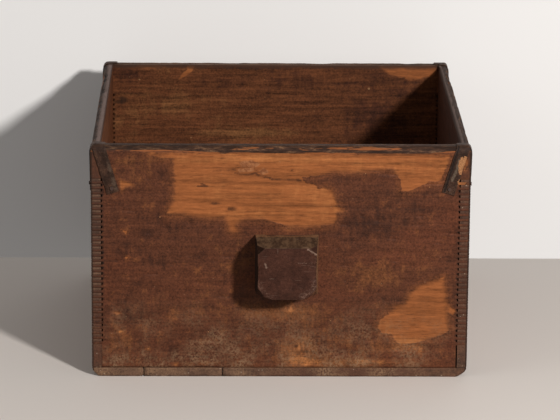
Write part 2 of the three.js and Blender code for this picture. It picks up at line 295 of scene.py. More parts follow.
FRONT_WEAR = Wear(
    bare=[
        [
            (-115, 199), (-26, 199), (43, 198.3), (128, 198.6), (143, 197.5), (143.5, 193), (139, 185),
            (137, 179), (134, 175), (126, 174), (118, 170), (109, 165.5), (101.5, 164.5), (101.5, 176),
            (97, 183), (95, 186.5), (79, 184), (68, 183), (45, 183.3), (31, 179), (20, 177), (21.5, 173),
            (29, 172), (32.5, 167.5), (38.5, 170), (43.5, 166), (46, 160), (48, 152.5), (52, 148.3),
            (47, 147), (48, 141.5), (45, 136.7), (34, 135.3), (21, 134), (8.5, 135), (-4.5, 138),
            (-15.5, 141), (-26, 141), (-34, 139.5), (-38.5, 136), (-37, 130), (-40, 129), (-43.5, 131.7),
            (-45.5, 138), (-48, 143), (-60, 142), (-77, 144.3), (-96.5, 145.7), (-94, 151.5), (-89, 158),
            (-90.5, 176), (-92, 193.5), (-103, 195),
        ],
        [
            (140, 89.5), (131.5, 87), (119.5, 82), (112.5, 76), (107.5, 65), (97, 60), (90, 55), (86, 51.5),
            (84.5, 44), (87, 40), (96, 38.5), (99, 34.5), (103, 29), (113.5, 30), (129.5, 34.5),
            (139.5, 38.5), (145, 42), (144, 56), (144, 62), (142.5, 76),
        ],
        [(144, 65), (151, 60), (149, 56), (144.5, 58)],
        [(-137, 175), (-125, 170.5), (-133, 169), (-135, 164)],
        [(-135, 131), (-130, 130), (-132, 127)],
        [(-133, 108), (-129, 106.5), (-131.5, 104)],
        [(-142, 58), (-137, 57), (-139.5, 55)],
        [(151, 173), (154, 175), (159, 175.5), (157, 172), (153, 170.5)],
        [(155, 194), (158, 195), (159, 190), (158, 186), (157, 182), (155, 184)],
        [(-91.5, 11), (-88, 11.6), (-89, 9.6)],
    ],
    kept=[],
    scars=[
        [(-36, 191), (-25, 193), (-18, 190), (-20, 187), (-34, 187)],
        [(-37, 185), (-24, 186), (-22, 183), (-35, 182)],
        [(-19, 183), (-14, 186.5), (-10, 182), (-17, 179.5)],
    ],
    warm=[
        (-20, 193, 90, 3.5, 0.3), (-40, 92, 50, 26, 0.1), (70, 92, 30, 16, 0.16),
        (-120, 118, 26, 20, 0.05), (16, 22, 15, 13, 0.36), (80, 13, 55, 3.6, 0.45),
        (20, 15, 18, 4, 0.2), (-70, 12, 40, 3, 0.25), (-135, 30, 18, 18, 0.24),
        (100, 25, 44, 5, 0.22), (60, 36, 26, 7, 0.16), (116, 28, 22, 8, 0.26),
        (130, 112, 10, 20, 0.14), (95, 145, 36, 18, -0.1), (-100, 180, 10, 12, -0.14),
        (46, 176, 12, 6, -0.2), (8, 60, 36, 8, 0.4), (-96, 100, 22, 40, -0.06),
        (0, 139, 22, 2.5, -0.3), (-75, 150, 18, 4, -0.12), (98, 46, 28, 16, 0.2),
        (-125, 182, 22, 16, 0.06), (120, 58, 24, 20, -0.75), (-57, 33, 12, 3, 0.3),
        (-113, 24.5, 2.4, 1.6, 0.7), (-136.8, 40.3, 1.6, 1.2, 0.8), (-80, 165, 18, 24, -0.16),
        (155, 174, 4, 4, 0.5),
    ],
    knots=[
        (-55, 154.5, 6.5, 1.5, 0.75), (-43, 150, 5, 2.2, 0.75), (40, 168, 3, 3.5, 0.4),
        (34, 175, 9, 2.5, 0.35), (9.5, 184, 1.1, 1.1, 0.8), (14, 27.5, 1.7, 1.7, 1.0),
        (108, 56, 7, 1.5, 0.35),
    ],
    cracks=[
        ([(-39, 181.5), (-34, 180), (-28, 180), (-22, 181.5)], 1.0, 0.55),
        ([(-22, 181.5), (-19, 179.5), (-12, 178), (-7, 176)], 1.0, 0.55),
        ([(-36, 186.5), (-27, 187.5), (-23, 186.5), (-21, 184)], 0.9, 0.45),
        ([(-7, 176), (17, 175)], 1.1, 0.45),
        ([(-57, 183), (-38, 184.5)], 1.0, 0.5),
        ([(-71, 170), (-62, 170)], 0.9, 0.8),
        ([(-68, 172.3), (-63, 170)], 0.8, 0.7),
        ([(43, 61), (82, 60.5), (104, 62)], 1.0, 0.3),
        ([(43, 79), (84, 79)], 0.9, 0.25),
        ([(-88, 85), (-47, 85.5)], 1.2, 0.35),
        ([(-80, 18), (-38, 17.5)], 1.0, 0.5),
        ([(-150, 104), (-139, 103.5)], 1.2, 0.5),
    ],
)

BACK_WEAR = Wear(
    bare=[
        [(-150, 199), (-96, 199), (-88, 190), (-104, 178), (-128, 172), (-148, 180)],
        [(40, 60), (92, 58), (118, 44), (96, 30), (52, 26), (26, 38)],
        [(-70, 128), (-22, 133), (6, 124), (-8, 114), (-48, 111), (-78, 118)],
    ],
    kept=[[(-130, 190), (-108, 191), (-106, 187), (-128, 186)]],
    scars=[[(-8, 172), (4, 176), (14, 172), (8, 167), (-4, 167)]],
    warm=[
        (0, 160, 80, 20, 0.3), (110, 120, 34, 40, 0.35), (-110, 60, 36, 26, 0.3), (10, 14, 90, 4, 0.6),
    ],
    knots=[(84, 150, 6, 3, 0.9), (-64, 70, 4, 2, 0.7)],
    cracks=[([(14, 171), (40, 169), (66, 170)], 1.0, 0.6), ([(-120, 44), (-70, 45)], 1.0, 0.5)],
)

LEFT_WEAR = Wear(
    bare=[
        [(-132, 198), (-30, 199), (12, 195), (-6, 184), (-52, 180), (-88, 171), (-126, 176)],
        [(70, 96), (118, 90), (124, 72), (98, 58), (60, 66), (52, 82)],
    ],
    kept=[[(-92, 189), (-64, 190), (-62, 186), (-90, 185)]],
    scars=[[(84, 82), (92, 86), (100, 82), (94, 77), (86, 77)]],
    warm=[
        (-60, 110, 44, 30, 0.36), (90, 150, 40, 22, 0.3), (0, 40, 90, 16, 0.28), (-120, 40, 24, 20, 0.4),
    ],
    knots=[(40, 140, 7, 3.5, 0.9), (-96, 84, 4, 2, 0.7)],
    cracks=[([(-40, 66), (10, 67), (34, 65)], 1.0, 0.5), ([(-128, 150), (-90, 151)], 1.0, 0.5)],
)

RIGHT_WEAR = Wear(
    bare=[
        [(-20, 199), (128, 198), (136, 186), (112, 172), (70, 168), (38, 176), (-6, 188)],
        [(-126, 70), (-84, 76), (-58, 62), (-70, 44), (-112, 40), (-134, 54)],
        [(14, 118), (52, 121), (66, 112), (40, 104), (10, 108)],
    ],
    kept=[[(84, 182), (104, 183), (106, 179), (86, 178)]],
    scars=[[(-104, 62), (-96, 66), (-86, 63), (-92, 56), (-100, 56)]],
    warm=[(60, 80, 50, 34, 0.34), (-90, 140, 44, 26, 0.3), (0, 16, 110, 5, 0.5)],
    knots=[(-30, 96, 6, 3, 0.9), (104, 128, 5, 2.4, 0.7)],
    cracks=[([(40, 50), (92, 51), (120, 49)], 1.0, 0.5), ([(-60, 160), (-20, 161)], 1.0, 0.5)],
)

# Inner faces. The back board's is the one that shows: u is mirrored there, as seen from inside
INNER_BACK_WEAR = Wear(
    bare=[
        [(132, 204), (98, 204), (104, 201), (124, 200.5)],
        [(84, 204), (76, 204), (79, 198), (90, 190), (93, 190), (88, 196), (83, 200)],
        [(-96, 204), (-150, 204), (-150, 199), (-140, 193), (-128, 189), (-118, 192), (-108, 196)],
    ],
    kept=[],
    scars=[],
    warm=[
        (140, 150, 24, 34, 0.14), (110, 165, 20, 8, 0.16), (20, 139, 60, 4, 0.34),
        (60, 120, 80, 8, 0.14), (60, 186, 26, 8, -0.26), (-30, 192, 50, 6, -0.1),
        (-90, 170, 40, 20, -0.05), (0, 60, 150, 60, 0.1), (-120, 120, 60, 80, -0.16),
        (144, 196, 10, 10, -0.22), (88, 160, 10, 12, 0.1),
    ],
    knots=[(146, 170, 8.5, 4, 0.8), (148, 170.5, 3, 1.4, -0.5)],
    cracks=[([(83, 190), (80, 186), (77, 180)], 1.0, -0.4)],
)

INNER_PLAIN_WEAR = Wear(
    bare=[[(-90, 84), (-30, 86), (-20, 74), (-70, 70)], [(70, 50), (104, 53), (112, 44), (82, 42)]],
    kept=[],
    scars=[],
    warm=[(-60, 110, 60, 30, 0.2), (90, 70, 40, 40, 0.15), (0, 30, 120, 12, -0.2)],
    knots=[(30, 120, 7, 3, 0.9), (-110, 60, 5, 2, 0.8)],
    cracks=[([(-40, 90), (20, 91)], 1.0, 0.5)],
)

# The right board's inner face: one strong negative tone over all of it paints it dark, as shade
INNER_WEAR_WITH_PAINTED_SHADE = INNER_PLAIN_WEAR._replace(warm=[(0, 120, 220, 150, -0.7)], bare=[])

# Where the rim's outer edge has splintered down to bare wood: (u, half length, strength)
RIM_SPLINTERS = {
    "front": [(78, 48, 1.0), (-26, 58, 0.5)],
    "back": [(-40, 60, 0.8), (90, 40, 0.6)],
    "left": [(-30, 50, 0.3), (80, 40, 0.2)],
    "right": [(60, 80, 0.5), (-90, 30, 0.3)],
}

# open_joints and open_feet are how far the joints at the left and the right end have opened, in the
# comb and below it, and silted is how far dirt has filled the comb low down. tear is how far the
# lacquer's edges have torn along the grain, grey_rim is how grey the rim has gone and how far the line
# along its inner arris turns from light to painted shade, rim_chips how chipped it is, and inner_ease
# how far its inner arris has rounded, across and down
Board = namedtuple(
    "Board",
    "name length thickness reach angle outer inner seed "
    "open_joints open_feet silted tear grey_rim rim_chips inner_ease",
)

WIDE, DEEP = 2 * HALF_WIDTH, 2 * HALF_DEPTH
BOARDS = [
    Board(
        "front", WIDE, FRONT_THICKNESS, HALF_DEPTH, 0, FRONT_WEAR, INNER_PLAIN_WEAR, seed=1,
        open_joints=(0.9, 0.4), open_feet=(0.1, 1), silted=(0.95, 0), tear=8,
        grey_rim=0.3, rim_chips=1, inner_ease=(1.3, 1.3),
    ),
    Board(
        "back", WIDE, FRONT_THICKNESS, HALF_DEPTH, math.pi, BACK_WEAR, INNER_BACK_WEAR, seed=2,
        open_joints=(0.8, 0.5), open_feet=(0.8, 0.3), silted=(0.3, 0.6), tear=26,
        grey_rim=0, rim_chips=0.7, inner_ease=(1.3, 1.3),
    ),
    Board(
        "left", DEEP, SIDE_THICKNESS, HALF_WIDTH, -math.pi / 2, LEFT_WEAR, INNER_PLAIN_WEAR, seed=3,
        open_joints=(0.7, 0.9), open_feet=(0, 0), silted=(0.4, 0.95), tear=26,
        grey_rim=1, rim_chips=1.4, inner_ease=(1.6, 1.6),
    ),
    Board(
        "right", DEEP, SIDE_THICKNESS, HALF_WIDTH, math.pi / 2, RIGHT_WEAR, INNER_WEAR_WITH_PAINTED_SHADE, seed=4,
        open_joints=(0.4, 0.8), open_feet=(0, 0), silted=(0, 0.5), tear=26,
        grey_rim=0.6, rim_chips=1.7, inner_ease=(4, 5),
    ),
]


# The comb joint, read from the frame's own boards

# lands are the stretches of height in which a board reaches the corner, low and high are the comb's
# ends, and plain and slot are how deep its slots go without and with their root holes
Comb = namedtuple("Comb", "lands low high plain slot")


def comb_of(board):
    along = 0 if board.name in ("front", "back") else 1
    points = np.array([v.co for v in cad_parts[f"{board.name}_board"].data.vertices])
    inset = board.length / 2 - np.abs(points[:, along])
    lands = np.unique(np.round(points[inset < ON_PLANE][:, 2], 6)).reshape(-1, 2)
    if lands[-1][1] > RIM_Z - 2 * EASE_DOWN:
        lands[-1][1] = RIM_Z
    near_root = (inset > 5 * MM) & (inset < 14 * MM)
    depths = np.unique(np.round(inset[near_root], 6))
    return Comb(lands, lands[0][0], lands[-1][1], depths[0], depths[-1])


def spread(start, end, step):
    return np.linspace(start, end, max(1, round((end - start) / step)) + 1)


def board_columns(board, comb, sizes):
    """Where the mesh's columns stand: close together in the comb, and evenly between the corners."""
    half, plain, edge = board.length / 2, comb.plain, sizes.finger_edge
    step_past = 0.8 * MM
    on_finger = [0, edge, plain * 0.36, plain * 0.68, plain - edge, plain]
    near = np.array([*on_finger, comb.slot, comb.slot + step_past])
    past = near[-1] + step_past
    middle = spread(-half + past, half - past, sizes.column_step)
    return np.concatenate([-half + near, middle, (half - near)[::-1]])


def board_rows(comb, sizes):
    """Where the mesh's rows lie: at the edges of each finger, and evenly above and below the comb."""
    stops = np.unique(np.round(np.concatenate([[FOOT_Z], comb.lands.ravel(), [RIM_Z]]), 6))
    rows = []
    for start, end in zip(stops[:-1], stops[1:]):
        if end - start > 4 * MM:
            rows.extend(spread(start, end, sizes.row_step)[:-1])
        else:
            rows.extend([start, start + sizes.finger_edge, end - sizes.finger_edge])
    return np.array(rows + [RIM_Z])


def sheet_of_cells(columns, rows):
    """A standing grid whose columns and rows lie where they are asked, facing -Y."""
    deselect_all()
    across, up = len(columns) - 1, len(rows) - 1
    bpy.ops.mesh.primitive_grid_add(x_subdivisions=across, y_subdivisions=up, size=2)
    sheet = bpy.context.object
    points = read_points(sheet)
    column = np.rint((points[:, 0] + 1) / 2 * across).astype(int)
    row = np.rint((points[:, 1] + 1) / 2 * up).astype(int)
    write_points(sheet, np.stack([columns[column], np.zeros(len(points)), rows[row]], axis=1))
    return sheet


def cut_slots(sheet, board, comb):
    centres = face_centres(sheet)
    inset = board.length / 2 - np.abs(centres[:, 0])
    height = centres[:, 2][:, None]
    on_land = ((height > comb.lands[:, 0]) & (height < comb.lands[:, 1])).any(axis=1)
    in_comb = ((height > comb.low) & (height < comb.high))[:, 0]
    gone = ~on_land & (inset < np.where(in_comb, comb.slot, comb.plain))
    with editing(sheet) as mesh:
        mesh.faces.ensure_lookup_table()
        cut = [mesh.faces[i] for i in np.flatnonzero(gone)]
        bmesh.ops.delete(mesh, geom=cut, context="FACES")


def cut_thickness(obj, thickness, cuts):
    """Splits the narrow faces round a board into strips, so that the rim can wear round."""
    with editing(obj) as mesh:
        crossing = [e for e in mesh.edges if abs(e.verts[0].co.y - e.verts[1].co.y) > thickness / 2]
        bmesh.ops.subdivide_edges(mesh, edges=crossing, cuts=cuts, use_grid_fill=True)


def fill_roots(obj, board, comb):
    """Puts a block halfway through each root hole, painted fully dark as the shade inside the hole, so that
    no light comes through.
    """
    size = Vector((comb.slot - comb.plain, board.thickness / 3, comb.high - comb.low))
    reach = (board.length - comb.slot - comb.plain) / 2
    with editing(obj) as mesh:
        for across in (-reach, reach):
            centre = Vector((across, board.thickness / 2, (comb.low + comb.high) / 2))
            bmesh.ops.create_cube(mesh, size=1, matrix=Matrix.LocRotScale(centre, None, size))


def spots(points, marks):
    """The summed strength of soft oval marks at each flat point."""
    total = np.zeros(len(points))
    for u, v, half_length, half_height, strength in marks:
        across = (points[:, 0] - u * MM) / (half_length * MM)
        up = (points[:, 1] - v * MM) / (half_height * MM)
        total += strength * np.exp(-(across**2) - up**2)
    return total


def outline_distance(flat, outlines):
    """How far inside the nearest of some outlines each flat point lies, in millimetres."""
    nearest = np.full(len(flat), -60.0)
    for outline in outlines:
        crisp = 3 if np.ptp(outline, axis=0).max() < 20 else 1
        nearest = np.maximum(nearest, crisp * inside_distance(flat / MM, outline))
    return nearest


def line_marks(flat, lines):
    """The strength of thin soft lines, each given as its points, its half width and its strength."""
    total = np.zeros(len(flat))
    for points, half_width, strength in lines:
        for first, second in zip(points[:-1], points[1:]):
            away = segment_distance(flat / MM, np.array(first, float), np.array(second, float))
            mark = strength * np.clip(1.6 - away / half_width, 0, 1)
            total = np.where(np.abs(mark) > np.abs(total), mark, total)
    return total


class BoardPoints:
    """A board's mesh points: u along it, depth into it, height up, and where on the board they lie."""

    def __init__(self, board, comb, points):
        self.board, self.comb, self.points = board, comb, points
        self.u, self.depth, self.height = points.T
        self.flat = points[:, [0, 2]]
        self.zeros = np.zeros_like(self.u)
        self.inset = board.length / 2 - np.abs(self.u)
        self.below = RIM_Z - self.height
        self.on_top = self.below < ON_PLANE
        self.on_outer = self.depth < ON_PLANE
        self.on_inner = self.depth > board.thickness - ON_PLANE
        self.on_end = self.inset < ON_PLANE
        self.on_foot = self.height < FOOT_Z + ON_PLANE
        self.at_seam = (np.abs(self.inset - comb.plain) < ON_PLANE) & (self.height < comb.low - ON_PLANE)
        self.opened = at_side(self.u, board.open_joints)
        self.clear = 1 - at_side(self.u, board.silted) * (1 - rise(self.height, *SILT_TOP))

    def noise(self, turn, *blotch):
        """Noise of the board's own, by a blotch's size along, into and up the board in millimetres."""
        return noise(self.points, np.array(blotch) * MM, self.board.seed + turn)

    def noise_along(self, turn, blotch):
        """Noise that changes only along the board."""
        along = np.stack([self.u, self.zeros, self.zeros], axis=1)
        return noise(along, np.array((blotch, 1000, 1000)) * MM, self.board.seed + turn)

    def drawn(self, turn, number):
        """A fixed number from 0 to 1 for each numbered place at each end of the board."""
        cells = np.stack([number, np.sign(self.u), self.zeros], axis=1)
        return lattice_value(cells, self.board.seed + turn)

    def grain(self, knots, seed):
        """Places along, across and into the grain, which wanders and flows round the knots."""
        lines = self.points.copy()
        lines[:, 2] += 4 * MM * (noise(self.points, (180 * MM, 50 * MM, 1), seed) - 0.5)
        for u, v, half_length, half_height, strength in knots:
            across = (self.u - u * MM) / (3.2 * half_length * MM)
            up = (self.height - v * MM) / (2.6 * half_height * MM)
            push = half_height * MM * 1.1 * strength * np.exp(-(across**2) - up**2)
            lines[:, 2] -= push * np.tanh(2 * up)
        return lines + np.array([0.37, 0.11, 0.53]) * seed


def eased(inset, base):
    """Moves points near an eased edge onto its round. Base is how far in the edge lies there."""
    return np.where(inset < EASE_ACROSS, base + inset * (1 - base / EASE_ACROSS), inset)


def ease_rim(p):
    """Rounds the rim's outer edge, and the board's own ends where they reach the corner."""
    # The sides below the rim take the lower half of the round
    turn = math.pi / 4 * (1 - np.clip(p.below / EASE_DOWN, 0, 1))
    base = EASE_ACROSS * (1 - np.cos(turn))
    on_round = (p.on_outer | p.on_end) & (p.below < EASE_DOWN)
    lowered = np.where(on_round, EASE_DOWN * (1 - np.sin(turn)), p.below)

    # The top of the rim takes the upper half
    insets = (p.depth, p.inset)
    top_turn = [math.pi / 4 * (1 + np.clip(inset / EASE_ACROSS, 0, 1)) for inset in insets]
    top_inset = [
        np.where(inset < EASE_ACROSS, EASE_ACROSS * (1 - np.cos(angle)), inset)
        for inset, angle in zip(insets, top_turn)
    ]
    top_drop = EASE_DOWN * (1 - np.sin(np.minimum(*top_turn)))

    depth = np.where(p.on_top, top_inset[0], eased(p.depth, base))
    inset = np.where(p.on_top, top_inset[1], eased(p.inset, base))
    height = RIM_Z - np.where(p.on_top, top_drop, lowered)
    return np.sign(p.u) * (p.board.length / 2 - inset), depth, height


def ease_inner_arris(p):
    """How far in and how far down the rim's inner arris moves each point, between the corners."""
    across, down = (part * MM for part in p.board.inner_ease)
    inset = p.board.thickness - p.depth
    on_top = p.on_top & (inset < across)
    on_inner = p.on_inner & (p.below < down)
    side_turn = math.pi / 4 * (1 - np.clip(p.below / down, 0, 1))
    turn = np.where(on_top, math.pi / 4 * (1 + np.clip(inset / across, 0, 1)), side_turn)
    strength = np.where(on_top | on_inner, rise(p.inset, 11 * MM, 20 * MM), 0)
    moved_in = strength * (across * (1 - np.cos(turn)) - inset)
    moved_down = strength * (down * (1 - np.sin(turn)) - p.below)
    return moved_in, moved_down


def wear_board(p, sizes):
    """Erodes a board inwards: worn rim, rounded fingers, shallow hollows and grain relief."""
    board, comb = p.board, p.comb
    u, depth, height = ease_rim(p)
    moved_in, moved_down = ease_inner_arris(p)
    depth, height = depth - moved_in, height - moved_down

    # Chips out of the rim's outer edge, away from the straps
    chips = rise(p.noise_along(10, 21), 0.5, 0.95) + 0.5 * rise(p.noise_along(20, 5), 0.5, 1)
    chips *= board.rim_chips * sizes.rim_chips * rise(p.inset, 14 * MM, 30 * MM)
    reach = (3 + 6 * p.noise_along(30, 31)) * MM
    outer_share = np.where(p.on_outer, np.clip(1 - p.below / reach, 0, 1) ** 1.3, 0)
    outer_share = np.where(p.on_top, np.clip(1 - p.depth / (7 * MM), 0, 1), outer_share)
    depth = depth + chips * outer_share

    # The top of the rim loses height at the chips, and dips slightly
    dips = (0.15 * p.noise(40, 60, 20, 1000) + 0.2 * p.noise(50, 8, 2.4, 1000)) * MM
    height = height - np.where(p.on_top, 0.5 * chips * outer_share + dips, 0)

    # Rounded comb fingers whose ends lie at slightly different depths
    in_comb = (p.inset < comb.plain + 0.5 * MM) & (p.height > comb.low) & (p.height < comb.high)
    to_edge = np.abs(p.height[:, None] - comb.lands.ravel()).min(axis=1)
    finger_height = 2.3 * MM
    recess = sizes.finger_spread * p.drawn(60, np.floor(p.height / finger_height))
    finger_wear = p.opened * (recess + np.where(in_comb & (to_edge < ON_PLANE), sizes.finger_round, 0))
    depth = depth + np.where(in_comb & p.on_outer, finger_wear, 0)
    drawn_in = np.where(in_comb & p.on_end, finger_wear, 0)

    # Below the comb the joint has opened in places
    drawn_in += np.where(p.at_seam, sizes.seam_gap * at_side(p.u, board.open_feet), 0)

    # The foot's lower edge is soft, so that a dark seam shows above the planks
    foot_gap = sizes.foot_gap * (0.6 + 0.8 * p.noise_along(65, 14))
    depth = depth + np.where(p.on_foot & p.on_outer, foot_gap, 0)

    # Shallow hollows and grain relief on both faces, always into the board
    hollow = sizes.face_wear * p.noise(70, 70, 1000, 45)
    relief = 0.09 * MM * p.noise(80, 26, 1000, 1.9)
    pits = 0.5 * MM * rise(p.noise(90, 7, 1000, 4), 0.86, 1)
    sunk = (hollow + relief + pits) * rise(p.inset, 0, 20 * MM) * np.where(p.on_top, 0, 1)
    depth = depth + np.where(p.on_outer, sunk, 0) - np.where(p.on_inner, 0.6 * sunk, 0)
    return np.stack([u - np.sign(p.u) * drawn_in, depth, height], axis=1)


def groove_marks(p):
    """How dark the joints are: black dots at the roots of the slots, fainter lines along them."""
    comb = p.comb
    nearest = np.abs(p.height[:, None] - comb.lands.ravel()).argmin(axis=1)
    at_edge = np.abs(p.height - comb.lands.ravel()[nearest]) < ON_PLANE

    # The upper side of each slot is the darker one
    along = np.where(p.on_end, 0.8, 0.3 + 0.7 * rise(p.inset, comb.plain - 3 * MM, comb.plain))
    along = along * np.where((nearest % 2 == 0) != p.on_end, 1, 0.5)
    filled = 0.3 + 0.9 * noise(p.points * (1, 0, 1), (6 * MM, 1, 9 * MM), p.board.seed + 95)
    lines = np.where(at_edge & (p.inset < comb.plain + ON_PLANE), p.opened * along * filled, 0)

    # The saw ran past the roots by uneven amounts
    slots = (comb.lands[:-1, 1] + comb.lands[1:, 0]) / 2
    which = np.abs(p.height[:, None] - slots).argmin(axis=1)
    across = p.inset - comb.slot - (0.5 * p.drawn(96, which) - 0.2) * MM
    up = p.height - slots[which] - (0.2 + 0.5 * p.drawn(97, which)) * MM
    radius = (0.7 + 0.9 * p.drawn(98, which) * p.opened) * MM
    dots = np.clip((radius - np.hypot(across, up)) / (0.6 * MM) + 0.6, 0, 1)
    comb_high = (p.height > comb.low - ON_PLANE) & (p.height < comb.high)
    in_comb = (p.inset < comb.slot + 2 * MM) & comb_high
    marks = np.where(in_comb, np.maximum(lines, dots) * p.clear, 0)

    # The open seam below the comb, and the line along the foot, fainter to the right
    marks = np.where(p.at_seam, at_side(p.u, p.board.open_feet), marks)
    foot_line = 0.95 - 0.5 * rise(p.u, -62 * MM, -50 * MM)
    return np.clip(np.where(p.on_foot, foot_line, marks), 0, 1)


def turn_board(points, board):
    """From the board's own axes to its place in the box."""
    x, y = points[:, 0], points[:, 1] - board.reach
    cos, sin = math.cos(board.angle), math.sin(board.angle)
    return np.stack([cos * x - sin * y, sin * x + cos * y, points[:, 2]], axis=1)


FACE_SLOTS = {"outer": 0, "inner": 1, "end": 2}


def board_face_slots(obj, board):
    """Which finish each face of a board takes: outer face and rim, inner face, or end grain."""
    centres = face_centres(obj)
    normals = face_normals(obj)
    kinds = np.full(len(centres), FACE_SLOTS["outer"])
    kinds[normals[:, 1] > 0.7] = FACE_SLOTS["inner"]
    at_end = np.abs(centres[:, 0]) > board.length / 2 - 3 * MM
    below_rim = centres[:, 2] < RIM_Z - EASE_DOWN
    kinds[(np.abs(normals[:, 0]) > 0.7) & at_end & below_rim] = FACE_SLOTS["end"]
    return kinds


def store_faces(obj, p):
    """Keeps what differs from the outer to the inner face: outlines, spots, lines and grain."""
    board, flat = p.board, p.flat
    is_inner = p.depth > board.thickness / 2
    for name, of_wear in {
        "bare": lambda w: np.minimum(outline_distance(flat, w.bare), -outline_distance(flat, w.kept)),
        "tone": lambda w: spots(flat, w.warm),
        "dark": lambda w: spots(flat, w.knots) + line_marks(flat, w.cracks),
        "scar": lambda w: outline_distance(flat, w.scars),
    }.items():
        store(obj, name, np.where(is_inner, of_wear(board.inner), of_wear(board.outer)))
    outer_grain = p.grain(board.outer.knots, board.seed)
    inner_grain = p.grain(board.inner.knots, board.seed + 5)
    store(obj, "grain", np.where(is_inner[:, None], inner_grain, outer_grain))


def store_joints_and_rim(obj, p, grooves):
    """Keeps the joints and the rim. The rim goes from 0 to 1 up its edge and to 2 across its top."""
    board = p.board
    store(obj, "groove", grooves)
    store(obj, "corner", np.minimum(p.inset + p.depth, 8 * MM) / MM)
    store(obj, "closed", 1 - p.clear * p.opened)
    store(obj, "grime", 1 - rise(p.inset, 0.8 * p.comb.plain, 1.3 * p.comb.plain))
    up_edge = np.maximum(1 - p.below / EASE_DOWN, -2)
    store(obj, "rim", np.where(p.on_top, 1 + p.depth / board.thickness, up_edge))
    rim_high = RIM_Z / MM
    splinters = [(u, rim_high, reach, 60, strength) for u, reach, strength in RIM_SPLINTERS[board.name]]
    store(obj, "splinter", spots(p.flat, splinters))
    store(obj, "tear", np.full(len(p.points), board.tear))
    store(obj, "grey", np.full(len(p.points), board.grey_rim))


def build_board(board, sizes, materials):
    comb = comb_of(board)
    obj = sheet_of_cells(board_columns(board, comb, sizes), board_rows(comb, sizes))
    cut_slots(obj, board, comb)
    apply_modifier(obj, "SOLIDIFY", thickness=board.thickness, offset=-1)
    cut_thickness(obj, board.thickness, cuts=6)
    wooden = len(obj.data.vertices)
    fill_roots(obj, board, comb)
    p = BoardPoints(board, comb, read_points(obj))
    grooves = groove_marks(p)
    # The blocks in the root holes are painted fully dark, as shade
    grooves[wooden:] = 1
    store_faces(obj, p)
    store_joints_and_rim(obj, p, grooves)
    kinds = board_face_slots(obj, board)
    write_points(obj, turn_board(wear_board(p, sizes), board))
    obj.data.polygons.foreach_set("material_index", kinds.astype(np.int32))
    finish_piece(obj, f"worn_{board.name}_board", [f"{board.name}_board"], materials)


# Pieces shaped from a copy of their frame node


def frame_copy(node):
    """A clean copy of a frame node's mesh, its flat faces joined."""
    deselect_all()
    obj = bpy.data.objects.new(node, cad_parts[node].data.copy())
    bpy.context.scene.collection.objects.link(obj)
    obj.data.materials.clear()
    with editing(obj) as mesh:
        bmesh.ops.remove_doubles(mesh, verts=mesh.verts, dist=ON_PLANE)
        bmesh.ops.dissolve_limit(
            mesh, angle_limit=math.radians(1), verts=mesh.verts, edges=mesh.edges, delimit=set()
        )
    return obj


def slice_into_cells(obj, steps):
    """Cuts a mesh by evenly spaced planes along each axis, so that it can be worn."""
    low, high = read_points(obj).min(axis=0), read_points(obj).max(axis=0)
    with editing(obj) as mesh:
        for axis, step in enumerate(steps):
            normal = Vector((axis == 0, axis == 1, axis == 2))
            for place in spread(low[axis], high[axis], step)[1:-1]:
                geometry = mesh.verts[:] + mesh.edges[:] + mesh.faces[:]
                bmesh.ops.bisect_plane(
                    mesh, geom=geometry, plane_co=normal * float(place), plane_no=normal
                )
        bmesh.ops.triangulate(mesh, faces=mesh.faces)
        bmesh.ops.recalc_face_normals(mesh, faces=mesh.faces)


def sharp_edges(obj):
    """The two ends of each edge that turns by more than 25 degrees."""
    mesh = bmesh.new()
    mesh.from_mesh(obj.data)
    pairs = [
        (np.array(e.verts[0].co), np.array(e.verts[1].co))
        for e in mesh.edges
        if e.is_manifold and e.calc_face_angle() > math.radians(25)
    ]
    mesh.free()
    return pairs


def edge_distance(points, pairs):
    nearest = np.full(len(points), np.inf)
    for first, second in pairs:
        nearest = np.minimum(nearest, segment_distance(points, first, second))
    return nearest


def rounded_copy(node, width, segments, least_turn, steps):
    """A copy with rounded edges, cut into cells, and each point's distance from the sharp edges."""
    obj = frame_copy(node)
    edges = sharp_edges(obj)
    least = math.radians(least_turn)
    apply_modifier(
        obj, "BEVEL", width=width, segments=segments, limit_method="ANGLE", angle_limit=least
    )
    slice_into_cells(obj, steps)
    return obj, edge_distance(read_points(obj), edges)


def sink_points(obj, amounts):
    """Moves each point into its piece by its own amount."""
    write_points(obj, read_points(obj) - point_normals(obj) * amounts[:, None])


# Worn places of a gripping block as its own board's outer face is seen: pale lines and dark spots
BLOCK_LINES = [
    ([(22.5, 124.5), (30, 119.5)], 0.6, 1.0),
    ([(-13.5, 111.5), (-12, 108)], 0.7, 0.9),
    ([(14, 112.5), (26, 112.5)], 0.6, 0.35),
    ([(-19.5, 96), (-15, 87), (-8, 81)], 2.2, 0.24),
    ([(30, 96), (26, 88), (17, 82.5)], 2.4, 0.3),
    ([(29.5, 118), (30, 98)], 0.8, 0.3),
    ([(-13, 125.2), (22, 125.2)], 0.7, -0.8),
]
BLOCK_SPOTS = [(5, 83, 13, 5, 0.35), (-20, 122, 5, 4, 0.4)]


